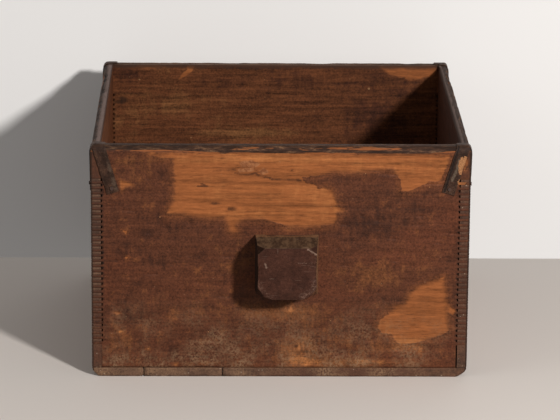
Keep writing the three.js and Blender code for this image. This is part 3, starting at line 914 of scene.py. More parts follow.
def build_block(name, seed, sizes, materials):
    node = f"{name}_handle"
    steps = (1.3 * MM, 1.6 * MM, 1.3 * MM)
    obj, to_edge = rounded_copy(node, sizes.block_round, 3, 22, steps)
    points = read_points(obj)
    normals = point_normals(obj)
    knocks = MM * rise(noise(points, (9 * MM,) * 3, seed), 0.6, 1) * (1 - rise(to_edge, 0, 7 * MM))
    hollows = 0.35 * MM * noise(points, (20 * MM,) * 3, seed + 1)
    sink_points(obj, knocks + hollows)
    outwards = 1 if name == "back" else -1
    seen = points[:, [0, 2]] * np.array([-outwards, 1])
    on_face = np.clip(outwards * normals[:, 1], 0, 1)
    near_board = 1 - rise(np.abs(points[:, 1]) - HALF_DEPTH, 5 * MM, 9 * MM)
    # Painted shade: the left side and the cut corner facets, which face away from the light, are darkened,
    # the left ones most; the right side gets painted light
    to_right, up = -outwards * normals[:, 0], np.clip(normals[:, 2], 0, 1)
    facet = rise(np.minimum(np.abs(to_right), up), 0.25, 0.5)
    painted_block_shade = np.maximum(facet * np.where(to_right < 0, 1, 0.6), rise(-to_right, 0.6, 0.9))
    store(obj, "edge", to_edge / MM)
    store(obj, "worn", line_marks(seen, BLOCK_LINES) * rise(on_face, 0.2, 0.6))
    # dark holds dark spots on the face and the painted shade of the left side and the corner facets
    store(obj, "dark", np.maximum(spots(seen, BLOCK_SPOTS) * on_face, painted_block_shade))
    store(obj, "dusty", up * (1 - facet))
    # rubbed holds painted light on the right side, and a lighter strip along the top next to the board
    store(obj, "rubbed", np.maximum(rise(to_right, 0.6, 0.9), up * near_board))
    store(obj, "grain", points + np.array([0.21, 0.4, 0.63]) * seed)
    finish_piece(obj, f"worn_{name}_block", [node], materials)


# Where the straps have peeled to tan hide, and where a painted highlight, which also stands for grey worn
# skin, lies (positive strength) and a painted shadow along the strap's left edge (negative strength)
STRAP_PEELS = {
    "strap_front_right": [(155.5, 188.5, 4.2, 8, 1.7), (153, 173.5, 3.5, 3.2, 1.0)],
    "strap_front_left": [(-148, 158, 3, 2, 0.5)],
    "strap_back_left": [(-150, 186, 3, 8, 1.0)],
    "strap_back_right": [(152, 176, 3, 5, 0.8)],
}
STRAP_HIGHLIGHT_AND_SHADOW = {
    "strap_front_right": [
        ([(151.5, 194), (149.5, 186), (145.5, 176)], 1.2, 0.9),
        ([(150.8, 205), (139.3, 166)], 0.8, -1.0),
    ],
    "strap_front_left": [
        ([(-149, 198), (-140.5, 168)], 1.8, 0.4),
        ([(-160.3, 202.6), (-149.2, 165)], 0.7, -1.0),
    ],
    "strap_back_left": [([(-149, 190), (-145, 178)], 1.6, 0.7)],
    "strap_back_right": [([(146, 192), (142, 180)], 1.8, 0.6)],
}


def build_strap(node, seed, sizes, materials):
    obj, to_edge = rounded_copy(node, sizes.strap_round, 2, 30, (1.2 * MM,) * 3)
    points = read_points(obj)
    by_edge = 1 - rise(to_edge, 0, 2 * MM)
    frayed = 0.45 * MM * rise(noise(points, (5 * MM,) * 3, seed), 0.4, 1) * by_edge
    creases = 0.25 * MM * noise(points, (7 * MM,) * 3, seed + 1)
    sink_points(obj, frayed + creases)
    flat = points[:, [0, 2]]
    # The faces across the strap's thickness, which take painted shade
    on_side, on_front = (np.abs(points[:, :2]) > (HALF_WIDTH, HALF_DEPTH)).T
    facing = np.abs(point_normals(obj).T)
    flank = 1 - np.where(on_side, facing[0], np.where(on_front, facing[1], facing[2]))
    store(obj, "edge", to_edge / MM)
    store(obj, "flank", flank)
    store(obj, "peel", spots(flat, STRAP_PEELS[node]))
    store(obj, "sheen", line_marks(flat, STRAP_HIGHLIGHT_AND_SHADOW[node]))
    store(obj, "grain", points + np.array([0.31, 0.17, 0.23]) * seed)
    finish_piece(obj, f"worn_{node}", [node], materials)


def round_foot(obj):
    """Rubs off the lower corners at the sides of the box, most of all near its front and back."""
    points = read_points(obj)
    low = 1 - np.clip(points[:, 2] / FOOT_Z, 0, 1)
    outward = rise(np.abs(points[:, 0]), HALF_WIDTH - 12 * MM, HALF_WIDTH)
    rubbed = 4 * MM * (1 - 0.75 * rise(HALF_DEPTH - np.abs(points[:, 1]), 60 * MM, 85 * MM))
    points[:, 0] -= np.sign(points[:, 0]) * rubbed * outward * low**1.5
    write_points(obj, points)


# How ragged the right side of each plank is where it meets the next, in millimetres
PLANK_CHIPS = {"left": 1.8, "middle": 0.4, "wide": 0}


def build_plank(name, seed, materials):
    node = f"bottom_plank_{name}"
    obj = frame_copy(node)
    slice_into_cells(obj, (3 * MM, 4 * MM, 2 * MM))
    points = read_points(obj)
    at_front = np.abs(np.abs(points[:, 1]) - HALF_DEPTH) < ON_PLANE
    hollows = 0.25 * MM * noise(points, (30 * MM, 60 * MM, 30 * MM), seed)
    saw_marks = 0.25 * MM * noise(points, (2.5 * MM, 1, 9 * MM), seed + 1)
    sink_points(obj, np.where(at_front, hollows + saw_marks, 0.4 * hollows))
    round_foot(obj)
    points = read_points(obj)
    high = points[:, 0].max()
    at_seam = (high - points[:, 0] < 0.1 * MM) & (high < HALF_WIDTH - 10 * MM)
    ragged = PLANK_CHIPS[name] * MM * noise(points, (1, 14 * MM, 3.2 * MM), seed + 2)
    points[:, 0] -= np.where(at_seam, ragged, 0)
    write_points(obj, points)
    store(obj, "grain", points[:, [1, 0, 2]] + np.array([0.3, 0.2, 0.4]) * seed)
    store(obj, "corner", (HALF_WIDTH - np.abs(points[:, 0])) / MM)
    store(obj, "closed", 0.75 * rise(points[:, 0], -60 * MM, 20 * MM))
    kinds = np.where(np.abs(face_normals(obj)[:, 1]) > 0.7, 1, 0)
    obj.data.polygons.foreach_set("material_index", kinds.astype(np.int32))
    finish_piece(obj, f"worn_plank_{name}", [node], materials)


# Nails


def nail_axis(node):
    """Where a nail's head is, which way it was driven, and its length and head radius."""
    low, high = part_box(node)
    size = high - low
    axis = max(range(3), key=lambda i: size[i])
    points = np.array([v.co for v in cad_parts[node].data.vertices])
    centre = (low + high) / 2
    across = [i for i in range(3) if i != axis]
    radius = np.hypot(*(points[:, i] - centre[i] for i in across))
    head_points = points[radius > radius.max() - ON_PLANE]
    head_low, head_high = head_points[:, axis].min(), head_points[:, axis].max()
    shank = radius[(radius > 0.01 * MM) & (radius < radius.max() - 0.2 * MM)].max()
    driven = 1 if head_high < centre[axis] else -1
    start = Vector(centre)
    start[axis] = low[axis] if driven == 1 else high[axis]
    direction = Vector((0, 0, 0))
    direction[axis] = driven
    return start, direction, size[axis], radius.max(), head_high - head_low, shank


def build_nail(node, seed, proud, materials):
    """A hand-made nail: a domed, slightly out-of-round head on a tapering shank."""
    start, direction, length, head, head_height, shank = nail_axis(node)
    deselect_all()
    bpy.ops.mesh.primitive_cylinder_add(vertices=18, radius=head, depth=head_height + proud)
    obj = bpy.context.object
    write_points(obj, read_points(obj) + np.array([0, 0, (head_height - proud) / 2]))
    with editing(obj) as mesh:
        crown = min(mesh.faces, key=lambda f: f.calc_center_median().z)
        foot = max(mesh.faces, key=lambda f: f.calc_center_median().z)
        for share, lift in ((0.25, 0.12), (0.35, 0.2)):
            bmesh.ops.inset_region(mesh, faces=[crown], thickness=head * share, depth=proud * lift)
        bmesh.ops.inset_region(mesh, faces=[foot], thickness=head - shank, depth=0)
        tip = list(bmesh.ops.extrude_discrete_faces(mesh, faces=[foot])["faces"][0].verts)
        bmesh.ops.translate(mesh, verts=tip, vec=(0, 0, length - head_height - 0.3 * MM))
        bmesh.ops.scale(mesh, verts=tip, vec=(0.45, 0.45, 1))
        bmesh.ops.recalc_face_normals(mesh, faces=mesh.faces)
    points = read_points(obj)
    swell = 1 - 0.1 * noise(points + seed, (2 * MM,) * 3, seed)
    points[:, :2] *= swell[:, None]
    turn = Vector((0, 0, 1)).rotation_difference(direction).to_matrix()
    write_points(obj, points @ np.array(turn).T + np.array(start))
    store(obj, "grain", read_points(obj))
    finish_piece(obj, f"forged_{node}", [node], materials, smooth_angle=40)


# Shader building


class Nodes:
    """Steps that add nodes to a tree and give back the socket that holds the result."""

    vector = None

    def __init__(self, tree):
        self.tree = tree

    def set(self, socket, value):
        """Links a socket to another one, or sets it to a number or a colour."""
        if isinstance(value, bpy.types.NodeSocket):
            self.tree.links.new(value, socket)
        else:
            socket.default_value = value

    def add(self, kind, inputs=None, **options):
        node = self.tree.nodes.new(kind)
        for name, value in options.items():
            setattr(node, name, value)
        for name, value in (inputs or {}).items():
            self.set(node.inputs[name], value)
        return node.outputs

    def read(self, attribute, output="Fac"):
        return self.add("ShaderNodeAttribute", attribute_name=attribute)[output]

    def calculate(self, operation, first, second):
        return self.add("ShaderNodeMath", {0: first, 1: second}, operation=operation)[0]

    def times(self, first, second):
        return self.calculate("MULTIPLY", first, second)

    def weigh(self, start, *pairs):
        """A start value plus each cloud's departure from its middle, times the cloud's weight."""
        for value, weight in pairs:
            inputs = {0: value, 1: weight, 2: start}
            start = self.add("ShaderNodeMath", inputs, operation="MULTIPLY_ADD")[0]
        return self.calculate("SUBTRACT", start, 0.5 * sum(weight for _, weight in pairs))

    def remap(self, value, start, end, low=0.0, high=1.0):
        """From low to high, smoothly, as a value goes from start to end."""
        inputs = {"Value": value, "From Min": start, "From Max": end, "To Min": low, "To Max": high}
        return self.add("ShaderNodeMapRange", inputs, interpolation_type="SMOOTHSTEP")[0]

    def blend_values(self, share, under, over):
        return self.add("ShaderNodeMix", {0: share, 2: under, 3: over}, data_type="FLOAT")[0]

    def blend(self, share, under, over):
        """A share of one colour over another."""
        is_socket = bpy.types.NodeSocket
        under, over = (c if isinstance(c, is_socket) else (*c, 1) for c in (under, over))
        return self.add("ShaderNodeMix", {0: share, 6: under, 7: over}, data_type="RGBA")[2]

    def layer(self, under, over, value, start, end, low=0.0, high=1.0):
        """One colour laid over another where a value goes from start to end."""
        return self.blend(self.remap(value, start, end, low, high), under, over)

    def shade(self, colour, factor):
        return self.add("ShaderNodeVectorMath", {0: colour, "Scale": factor}, operation="SCALE")[0]

    def clouds(self, marks, detail=2.0, roughness=0.5, distortion=0.0, vector=None):
        """Noise with so many marks per metre along, across and into the grain."""
        given = {0: self.vector if vector is None else vector, 1: marks}
        stretched = self.add("ShaderNodeVectorMath", given, operation="MULTIPLY")[0]
        inputs = {"Scale": 1.0, "Detail": detail, "Roughness": roughness, "Distortion": distortion}
        return self.add("ShaderNodeTexNoise", {"Vector": stretched, **inputs})[0]


class Group(Nodes):
    """A shared node group. An input without a default is a vector, and all else is a number."""

    def __init__(self, name, inputs, outputs):
        super().__init__(bpy.data.node_groups.new(name, "ShaderNodeTree"))
        add_socket = self.tree.interface.new_socket
        for socket, default in inputs.items():
            if default is None:
                add_socket(name=socket, in_out="INPUT", socket_type="NodeSocketVector")
            else:
                made = add_socket(name=socket, in_out="INPUT", socket_type="NodeSocketFloat")
                made.default_value = default
        for socket in outputs:
            add_socket(name=socket, in_out="OUTPUT", socket_type="NodeSocketFloat")
        self.given = self.tree.nodes.new("NodeGroupInput").outputs
        self.results = self.tree.nodes.new("NodeGroupOutput").inputs
        self.vector = self.given["Vector"]


def wood_grain_group():
    """Broad bands, narrow streaks, fine fibres and pores that run along the grain."""
    outputs = {
        "Bands": ((5, 120, 60), 3, 0.5),
        "Streaks": ((8, 420, 200), 4, 0.7),
        "Fibres": ((17, 640, 300), 4, 0.75),
        "Pores": ((110, 1300, 600), 3, 0.75),
    }
    g = Group("Wood grain", {"Vector": None}, outputs)
    for name, (marks, detail, roughness) in outputs.items():
        g.set(g.results[name], g.clouds(marks, detail, roughness))
    return g.tree


def ragged_group():
    """Moves a distance to and fro along the grain, so that an edge read from it looks torn."""
    g = Group("Ragged", {"Vector": None, "Distance": 0.0, "Tear": 5.0}, ["Place"])
    long_tears = g.clouds((24, 430, 60), 4, 0.7)
    short_tears = g.clouds((160, 1400, 300), 3, 0.65)
    tears = g.weigh(0.0, (long_tears, 1.0), (short_tears, 0.6))
    uneven = g.remap(g.clouds((26, 26, 26)), 0.35, 0.65, 0.35, 1.5)
    tears = g.times(g.times(tears, uneven), g.given["Tear"])
    g.set(g.results["Place"], g.calculate("ADD", g.given["Distance"], tears))
    return g.tree


def speck_group():
    """Scattered small specks, such as chips and lime splashes. Count is the cells in a metre."""
    g = Group("Specks", {"Vector": None, "Count": 60.0, "Size": 0.08, "Share": 0.4}, ["Mask"])
    scaled = g.shade(g.vector, g.given["Count"])
    cells = g.add("ShaderNodeTexVoronoi", {"Vector": scaled, "Scale": 1.0})
    uneven = g.times(g.clouds((1, 1, 1), 1, vector=scaled), 0.04)
    near = g.calculate("LESS_THAN", g.calculate("ADD", cells["Distance"], uneven), g.given["Size"])
    drawn = g.add("ShaderNodeSeparateColor", {"Color": cells["Color"]})[0]
    chosen = g.calculate("LESS_THAN", drawn, g.given["Share"])
    g.set(g.results["Mask"], g.times(near, chosen))
    return g.tree


def dust_group():
    """Dust that gathers towards the ground and in blotches, thinner at the box's right side."""
    g = Group("Dust", {"Vector": None, "Place": None, "Reach": 0.08}, ["Mask"])
    place = g.add("ShaderNodeSeparateXYZ", {0: g.given["Place"]})
    low_down = g.remap(place["Z"], g.given["Reach"], 0.0)
    blotches = g.clouds((38, 55, 40), 4, 0.65)
    patchy = g.times(g.remap(blotches, 0.38, 0.68), g.remap(place["X"], 0.09, 0.15, 1, 0.3))
    gritty = g.remap(g.clouds((650, 650, 650), 3, 0.7), 0.4, 0.58, 0.0, 1.25)
    mask = g.times(g.times(low_down, patchy), gritty)
    g.set(g.results["Mask"], g.times(mask, 0.7))
    return g.tree


def edge_wear_group():
    """Wear that follows the edges of a piece, broken up by noise."""
    g = Group("Edge wear", {"Vector": None, "Distance": 10.0, "Width": 1.5}, ["Mask"])
    reach = g.times(g.given["Width"], g.times(g.clouds((150, 150, 150), 3, 0.65), 2.0))
    g.set(g.results["Mask"], g.remap(g.given["Distance"], reach, 0.0))
    return g.tree


GROUP_MAKERS = {
    "grain": wood_grain_group,
    "ragged": ragged_group,
    "specks": speck_group,
    "dust": dust_group,
    "edges": edge_wear_group,
}


class Finish(Nodes):
    """A new material of a piece, which follows the piece's own grain or the box's axes."""

    def __init__(self, name, groups, on_grain=True):
        material = bpy.data.materials.new(name)
        material.use_nodes = True
        super().__init__(material.node_tree)
        self.groups = groups
        self.shader = self.tree.nodes["Principled BSDF"].inputs
        self.vector = self.read("grain", "Vector") if on_grain else self.object_place()

    def object_place(self):
        return self.add("ShaderNodeTexCoord")["Object"]

    def use(self, group, **inputs):
        """What a shared group gives. Its inputs are named in small letters."""
        given = {name.capitalize(): value for name, value in inputs.items()}
        given["Vector"] = self.vector
        return self.add("ShaderNodeGroup", given, node_tree=self.groups[group])

    def torn(self, attribute, tear):
        """How far inside an outline the surface lies, torn along the grain."""
        return self.use("ragged", distance=self.read(attribute), tear=tear)["Place"]

    def dust(self, reach):
        return self.use("dust", place=self.object_place(), reach=reach)["Mask"]

    def edge_wear(self, width, strength):
        mask = self.use("edges", distance=self.read("edge"), width=width)["Mask"]
        return self.times(mask, strength)

    def specks(self, skin, kinds):
        """Scatters specks, each kind given as count, size, share, strength and colour."""
        for count, size, share, strength, colour in kinds:
            mask = self.use("specks", count=count, size=size, share=share)["Mask"]
            skin = self.blend(self.times(mask, strength), skin, colour)
        return skin

    def painted_corner_shade(self, skin, ragged):
        """Paints shade along the box's vertical corners."""
        near = self.weigh(self.read("corner"), (ragged, 1.8))
        return self.layer(skin, paint(42, 29, 22), near, 2.0, 1.1, 0, 0.8)

    def finish(self, skin, roughness, specular, relief, depth):
        """Feeds the shader. Depth is how far the relief stands out."""
        normal = self.add("ShaderNodeBump", {"Height": relief, "Distance": depth})["Normal"]
        self.set(self.shader["Base Color"], skin)
        self.set(self.shader["Roughness"], roughness)
        self.set(self.shader["Specular IOR Level"], specular)
        self.set(self.shader["Normal"], normal)


def bare_wood(m, grain, tone, colours):
    """The colour of wood without lacquer, from its grain."""
    wood = m.layer(colours.bare, colours.bare_pale, m.weigh(tone, (grain["Bands"], 0.9)), -0.1, 0.5)
    wood = m.layer(wood, colours.bare_dark, grain["Streaks"], 0.46, 0.34, 0, 0.2)
    wood = m.layer(wood, paint(88, 49, 28), grain["Pores"], 0.4, 0.3, 0, 0.35)
    wood = m.shade(wood, m.remap(tone, -0.9, -0.2, 0.84, 1.0))
    return m.shade(wood, m.weigh(1.0, (grain["Fibres"], 1.9), (grain["Pores"], 1.1)))


def rim_layers(m, skin, wood, colours):
    """Lays the rim's dark handled wood and its splintered stripe over the face's own colour."""
    mottled = m.clouds((75, 330, 230), 5, 0.75)
    splinter, grey, rim = m.read("splinter"), m.read("grey"), m.read("rim")
    place = m.weigh(rim, (m.clouds((30, 420, 420), 4, 0.7), 0.9))
    from_start = m.calculate("SUBTRACT", place, m.remap(splinter, 0.05, 0.45, 0.4, -0.05))
    handled = m.remap(from_start, -0.06, 0.06)
    brown = m.layer(paint(92, 60, 40), colours.rim, grey, 0.0, 0.4)
    dark = m.layer(m.shade(brown, 0.45), brown, mottled, 0.44, 0.55)
    dark = m.layer(dark, paint(114, 82, 57), mottled, 0.55, 0.64, 0, 0.8)
    dark = m.shade(dark, m.remap(splinter, 0.0, 0.5, 0.76, 1.1))

    # Grey bloom, and a line along the inner arris: light on the less grey rims, and painted shade of the
    # rounded arris on the greyer side rims
    from_bloom = m.calculate("SUBTRACT", place, m.remap(grey, 0, 1, 2.0, 1.45))
    bloom = m.times(m.remap(from_bloom, -0.1, 0.12), m.remap(mottled, 0.34, 0.5, 0.6, 1))
    dark = m.blend(bloom, dark, colours.rim_grey)
    arris = m.layer(paint(104, 84, 70), paint(48, 30, 24), grey, 0.4, 0.9)
    dark = m.layer(dark, arris, m.weigh(rim, (mottled, 0.2)), 1.86, 1.94, 0, 0.8)

    # Bare wood in a broken stripe along the edge, and in flecks where the handled wood starts
    stripe = m.times(m.remap(place, 0.58, 0.68), m.remap(place, 1.12, 1.0))
    broken = m.clouds((45, 160, 160), 4, 0.65)
    shown = m.remap(m.weigh(splinter, (broken, 3.2)), 0.6, 0.85, 0, 0.85)
    dark = m.blend(m.times(stripe, shown), dark, wood)
    line = m.times(m.remap(from_start, -0.16, -0.1), m.remap(from_start, 0.1, 0.04))
    flecks = m.remap(m.clouds((50, 160, 160), 3), 0.42, 0.54, 0, 0.85)
    skin = m.blend(handled, skin, dark)
    return m.blend(m.times(line, flecks), skin, colours.bare), handled


def lacquered_face(groups, colours):
    """The outer faces: dark lacquer, peeled to bare wood, dusty low down and dark at the rim."""
    m = Finish("worn_lacquered_face", groups)
    grain = m.use("grain")
    place = m.torn("bare", m.read("tear"))
    soft = m.remap(m.clouds((22, 30, 20)), 0.42, 0.6, 0.5, 3.0)
    bare = m.remap(place, m.times(soft, -1), soft)
    blotches = m.clouds((13, 24, 20), 5, 0.62)
    worn = m.clouds((95, 210, 90), 4, 0.7)
    runs = m.clouds((280, 8, 60))
    grit = m.clouds((640, 760, 640), 3, 0.75)
    uneven = ((blotches, 0.9), (worn, 0.7), (runs, 0.4), (grain["Streaks"], 0.25))
    tone = m.weigh(m.read("tone"), *uneven)
    wood = bare_wood(m, grain, tone, colours)

    # The lacquer is thick in places, and rubbed thin where the wood begins to show
    lacquer = m.layer(colours.lacquer_deep, colours.lacquer, tone, -0.3, 0.0)
    lacquer = m.layer(lacquer, colours.lacquer_thin, tone, 0.05, 0.35)
    lacquer = m.layer(lacquer, colours.lacquer_red, m.clouds((9, 19, 20), 3), 0.48, 0.66, 0, 0.45)
    lacquer = m.layer(lacquer, wood, tone, 0.34, 0.66, 0, 0.85)
    lacquer = m.layer(lacquer, wood, place, -8.0, -1.0, 0, 0.22)
    lacquer = m.layer(lacquer, paint(126, 74, 42), worn, 0.56, 0.72, 0, 0.5)
    lacquer = m.layer(lacquer, colours.lacquer_deep, worn, 0.44, 0.3, 0, 0.5)
    lip = m.remap(place, -2.4, -0.8, 1, 0.84)
    weft = m.clouds((620, 70, 60), 2)
    fine = m.weigh(lip, (grain["Fibres"], 1.3), (grit, 2.4), (weft, 0.35))
    skin = m.blend(bare, m.shade(lacquer, fine), wood)

    # Scars are flaky wood, and knots and cracks are dark
    flakes = m.clouds((240, 400, 200), 4, 0.75)
    flaky = m.layer(paint(108, 64, 40), paint(166, 110, 72), flakes, 0.4, 0.6)
    skin = m.layer(skin, flaky, m.weigh(m.torn("scar", 5.0), (flakes, 9.0)), -1.5, 1.5, 0, 0.7)
    dark = m.weigh(m.read("dark"), (worn, 1.2), (grain["Streaks"], 0.8), (grit, 0.3))
    skin = m.layer(skin, paint(46, 28, 20), dark, 0.2, 0.75, 0, 0.75)

    # Grime on the comb, painted shade along the corners, dust and specks
    grime = m.times(m.read("grime"), m.remap(m.read("closed"), 0, 1, 0.65, 0.2))
    skin = m.painted_corner_shade(m.blend(grime, skin, paint(70, 46, 35)), worn)
    dust = m.dust(0.085)
    skin = m.blend(dust, skin, colours.dust)
    kinds = (
        (75.0, 0.055, 0.3, 0.75, paint(176, 124, 82)),
        (41.0, 0.024, 0.4, 1.0, paint(222, 200, 174)),
        (160.0, 0.1, 0.12, 0.4, paint(150, 112, 84)),
    )
    skin, handled = rim_layers(m, m.specks(skin, kinds), wood, colours)
    skin = m.blend(m.times(m.read("groove"), 0.9), skin, paint(24, 16, 13))

    roughness = m.blend_values(bare, m.remap(worn, 0.3, 0.7, 0.46, 0.62), 0.78)
    roughness = m.blend_values(m.calculate("MAXIMUM", dust, handled), roughness, 0.7)
    relief = m.weigh(m.times(bare, -0.6), (grain["Streaks"], 0.9), (worn, 0.7), (flakes, 0.4))
    m.finish(skin, roughness, 0.12, relief, 0.4 * MM)


def inner_face(groups, colours):
    """The inner faces: brown oiled wood with dark stains and a few bare patches."""
    m = Finish("oiled_inner_face", groups)
    grain = m.use("grain")
    bare = m.remap(m.torn("bare", 14.0), -1.6, 1.6, 0, 0.8)
    stains = m.clouds((11, 26, 20), 5, 0.62)
    worn = m.clouds((80, 190, 90), 4, 0.7)
    runs = m.clouds((200, 9, 60))
    grit = m.clouds((640, 760, 640), 3, 0.75)
    uneven = ((stains, 1.0), (worn, 0.6), (runs, 0.4), (grain["Streaks"], 0.5))
    tone = m.weigh(m.read("tone"), *uneven)
    skin = m.layer(paint(60, 32, 20), colours.inside, tone, -0.35, 0.0)
    skin = m.layer(skin, paint(112, 72, 42), tone, 0.05, 0.5)
    skin = m.shade(skin, m.weigh(1.0, (grain["Fibres"], 2.6), (grit, 2.4)))
    skin = m.blend(bare, skin, bare_wood(m, grain, tone, colours))
    by_rim = m.weigh(m.read("rim"), (worn, 0.9))
    skin = m.layer(skin, paint(58, 40, 32), by_rim, 0.1, 0.7, 0, 0.8)
    dark = m.weigh(m.read("dark"), (worn, 0.9), (grit, 0.3))
    skin = m.layer(skin, paint(40, 26, 18), dark, 0.2, 0.65, 0, 0.75)
    pale = paint(152, 112, 76)
    skin = m.specks(skin, ((60.0, 0.08, 0.2, 0.6, pale), (150.0, 0.1, 0.12, 0.35, pale)))
    skin = m.blend(m.times(m.read("groove"), 0.4), skin, paint(18, 10, 6))
    relief = m.weigh(0.5, (grain["Streaks"], 1.0), (worn, 0.6))
    m.finish(skin, m.remap(stains, 0.3, 0.7, 0.6, 0.78), 0.1, relief, 0.3 * MM)


def end_grain(groups, colours):
    """End grain of fingers and planks: pores, ring arcs and ground-in dirt."""
    m = Finish("dirty_end_grain", groups, on_grain=False)
    rings = m.clouds((90, 90, 330), 3, distortion=0.4)
    pores = m.clouds((620, 620, 620), 4, 0.75)
    dirt = m.clouds((60, 60, 90), 4, 0.65)
    skin = m.layer(m.shade(colours.end_grain, 0.8), colours.end_grain, rings, 0.35, 0.65)
    skin = m.blend(m.read("closed"), skin, paint(84, 52, 37))
    skin = m.layer(skin, paint(62, 43, 34), dirt, 0.45, 0.7, 0, 0.8)
    skin = m.shade(skin, m.weigh(1.0, (pores, 2.4)))
    skin = m.blend(m.dust(0.05), skin, colours.dust)
    skin = m.specks(skin, ((330.0, 0.2, 0.2, 0.5, paint(176, 152, 128)),))
    # Painted shade along the vertical corners
    skin = m.painted_corner_shade(skin, dirt)
    skin = m.blend(m.times(m.read("groove"), 0.85), skin, paint(27, 18, 15))
    m.finish(skin, 0.85, 0.2, m.weigh(0.5, (rings, 0.6), (pores, 1.0)), 0.4 * MM)


def rubbed_plank(groups, colours):
    """The bottom planks' faces: rubbed, streaked and dusty."""
    m = Finish("rubbed_plank", groups)
    grain = m.use("grain")
    stains = m.clouds((14, 22, 20), 4, 0.6)
    skin = m.layer(paint(80, 52, 36), paint(112, 76, 50), stains, 0.35, 0.65)
    skin = m.layer(skin, paint(60, 39, 28), grain["Streaks"], 0.6, 0.36, 0, 0.5)
    skin = m.layer(skin, colours.dust, m.clouds((500, 500, 500), 3), 0.5, 0.75, 0, 0.35)
    skin = m.shade(skin, m.weigh(1.0, (grain["Fibres"], 0.8)))
    relief = m.weigh(0.5, (grain["Streaks"], 1.0), (grain["Pores"], 0.6))
    m.finish(skin, 0.86, 0.2, relief, 0.3 * MM)


def block_wood(groups, colours):
    """The gripping blocks: dark handled wood, dusty on top, light on its worn edges, scratched, with
    painted shade on the left side and the corner facets and painted light on the right side.
    """
    m = Finish("handled_block", groups)
    mottled = m.clouds((80, 80, 80), 5, 0.65)
    fine = m.clouds((700, 700, 700), 3, 0.7)
    streaky = m.clouds((240, 90, 420), 4, 0.7)
    worn, dark = m.read("worn"), m.read("dark")
    skin = m.layer(m.shade(colours.block, 0.62), colours.block, mottled, 0.36, 0.62)
    dusty = m.layer(paint(62, 47, 35), paint(92, 71, 52), streaky, 0.4, 0.6)
    skin = m.layer(skin, dusty, m.read("dusty"), 0.2, 0.8, 0, 0.9)
    # Painted light on the right side, and a lighter strip along the top next to the board
    rubbed = m.weigh(m.read("rubbed"), (streaky, 1.6))
    skin = m.layer(skin, paint(118, 82, 56), rubbed, 0.3, 0.9, 0, 0.8)
    # Dark spots, and painted shade on the left side and the cut corner facets
    skin = m.blend(m.times(dark, 0.9), skin, paint(30, 15, 7))
    skin = m.layer(skin, paint(46, 24, 20), worn, -0.1, -0.7, 0, 0.7)
    paled = m.weigh(worn, (mottled, 0.5), (fine, 1.2))
    skin = m.layer(skin, paint(130, 104, 88), paled, 0.15, 0.9, 0, 0.8)
    skin = m.blend(m.edge_wear(0.9, 0.1), skin, paint(128, 96, 74))
    for marks, start in (((60, 60, 1400), 0.73), ((900, 60, 50), 0.75)):
        scratches = m.clouds(marks, 1, distortion=0.8)
        skin = m.layer(skin, paint(132, 106, 90), scratches, start, start + 0.04, 0, 0.5)
    skin = m.shade(skin, m.weigh(1.0, (fine, 1.2), (streaky, 1.0)))
    roughness = m.blend_values(dark, m.remap(fine, 0.3, 0.7, 0.42, 0.58), 1.0)
    m.finish(skin, roughness, 0.1, m.weigh(0.5, (mottled, 1.0), (fine, 0.3)), 0.5 * MM)


def strap_hide(groups, colours):
    """The corner straps: dark lacquered hide, creased, peeled to tan in places, with a painted highlight, a
    painted shadow along the left edges and painted shade on the edge faces.
    """
    m = Finish("lacquered_hide", groups)
    mottled = m.clouds((140, 140, 140), 4, 0.65)
    fine = m.clouds((900, 900, 900), 3)
    sheen = m.read("sheen")
    skin = m.layer(m.shade(colours.hide, 0.5), colours.hide, mottled, 0.4, 0.62)
    skin = m.layer(skin, paint(92, 64, 46), mottled, 0.58, 0.78, 0, 0.5)
    # A painted highlight, also standing for grey worn skin, then a painted shadow along the strap's left
    # edge
    skin = m.layer(skin, paint(94, 78, 64), m.weigh(sheen, (mottled, 0.9)), 0.2, 0.8, 0, 0.8)
    skin = m.layer(skin, paint(26, 18, 14), sheen, -0.2, -0.8, 0, 0.85)
    peeled = m.remap(m.weigh(m.read("peel"), (mottled, 1.6), (fine, 0.8)), 0.44, 0.54)
    skin = m.blend(peeled, skin, colours.hide_peeled)
    skin = m.blend(m.edge_wear(0.5, 0.3), skin, paint(96, 74, 58))
    # Painted shade on the faces across the strap's thickness
    skin = m.layer(skin, paint(30, 19, 15), m.read("flank"), 0.35, 0.75, 0, 0.85)
    skin = m.shade(skin, m.weigh(1.0, (fine, 1.5)))
    relief = m.weigh(m.times(peeled, -0.6), (mottled, 1.0), (fine, 1.0))
    m.finish(skin, m.remap(fine, 0.3, 0.7, 0.46, 0.62), 0.1, relief, 0.35 * MM)


def rusted_iron(groups, colours):
    """Nails: rust-brown iron with darker scale."""
    m = Finish("rusted_nail", groups)
    scale = m.clouds((900, 900, 900), 4, 0.7)
    skin = m.layer(paint(46, 34, 29), colours.rust, scale, 0.38, 0.62)
    m.finish(skin, m.remap(scale, 0.3, 0.7, 0.6, 0.85), 0.5, scale, 0.3 * MM)
    m.shader["Metallic"].default_value = 0.3


FINISH_MAKERS = (
    lacquered_face, inner_face, end_grain, rubbed_plank, block_wood, strap_hide, rusted_iron
)


# Operators


def finishes(*names):
    """The materials of these names, which the first operator makes."""
    return [bpy.data.materials[name] for name in names]


class GRAINMEASURE_OT_finishes(bpy.types.Operator):
    """Makes the node groups and materials of the grain measure"""

    bl_idname = "grain_measure.finishes"
    bl_label = "Finishes"

    def execute(self, context):
        groups = {name: maker() for name, maker in GROUP_MAKERS.items()}
        for maker in FINISH_MAKERS:
            maker(groups, context.scene.grain_measure_colours)
        return {"FINISHED"}


class GRAINMEASURE_OT_boards(bpy.types.Operator):
    """Builds the four worn wall boards with their comb fingers"""

    bl_idname = "grain_measure.boards"
    bl_label = "Wall boards"

    def execute(self, context):
        materials = finishes("worn_lacquered_face", "oiled_inner_face", "dirty_end_grain")
        for board in BOARDS:
            build_board(board, context.scene.grain_measure_sizes, materials)
        return {"FINISHED"}


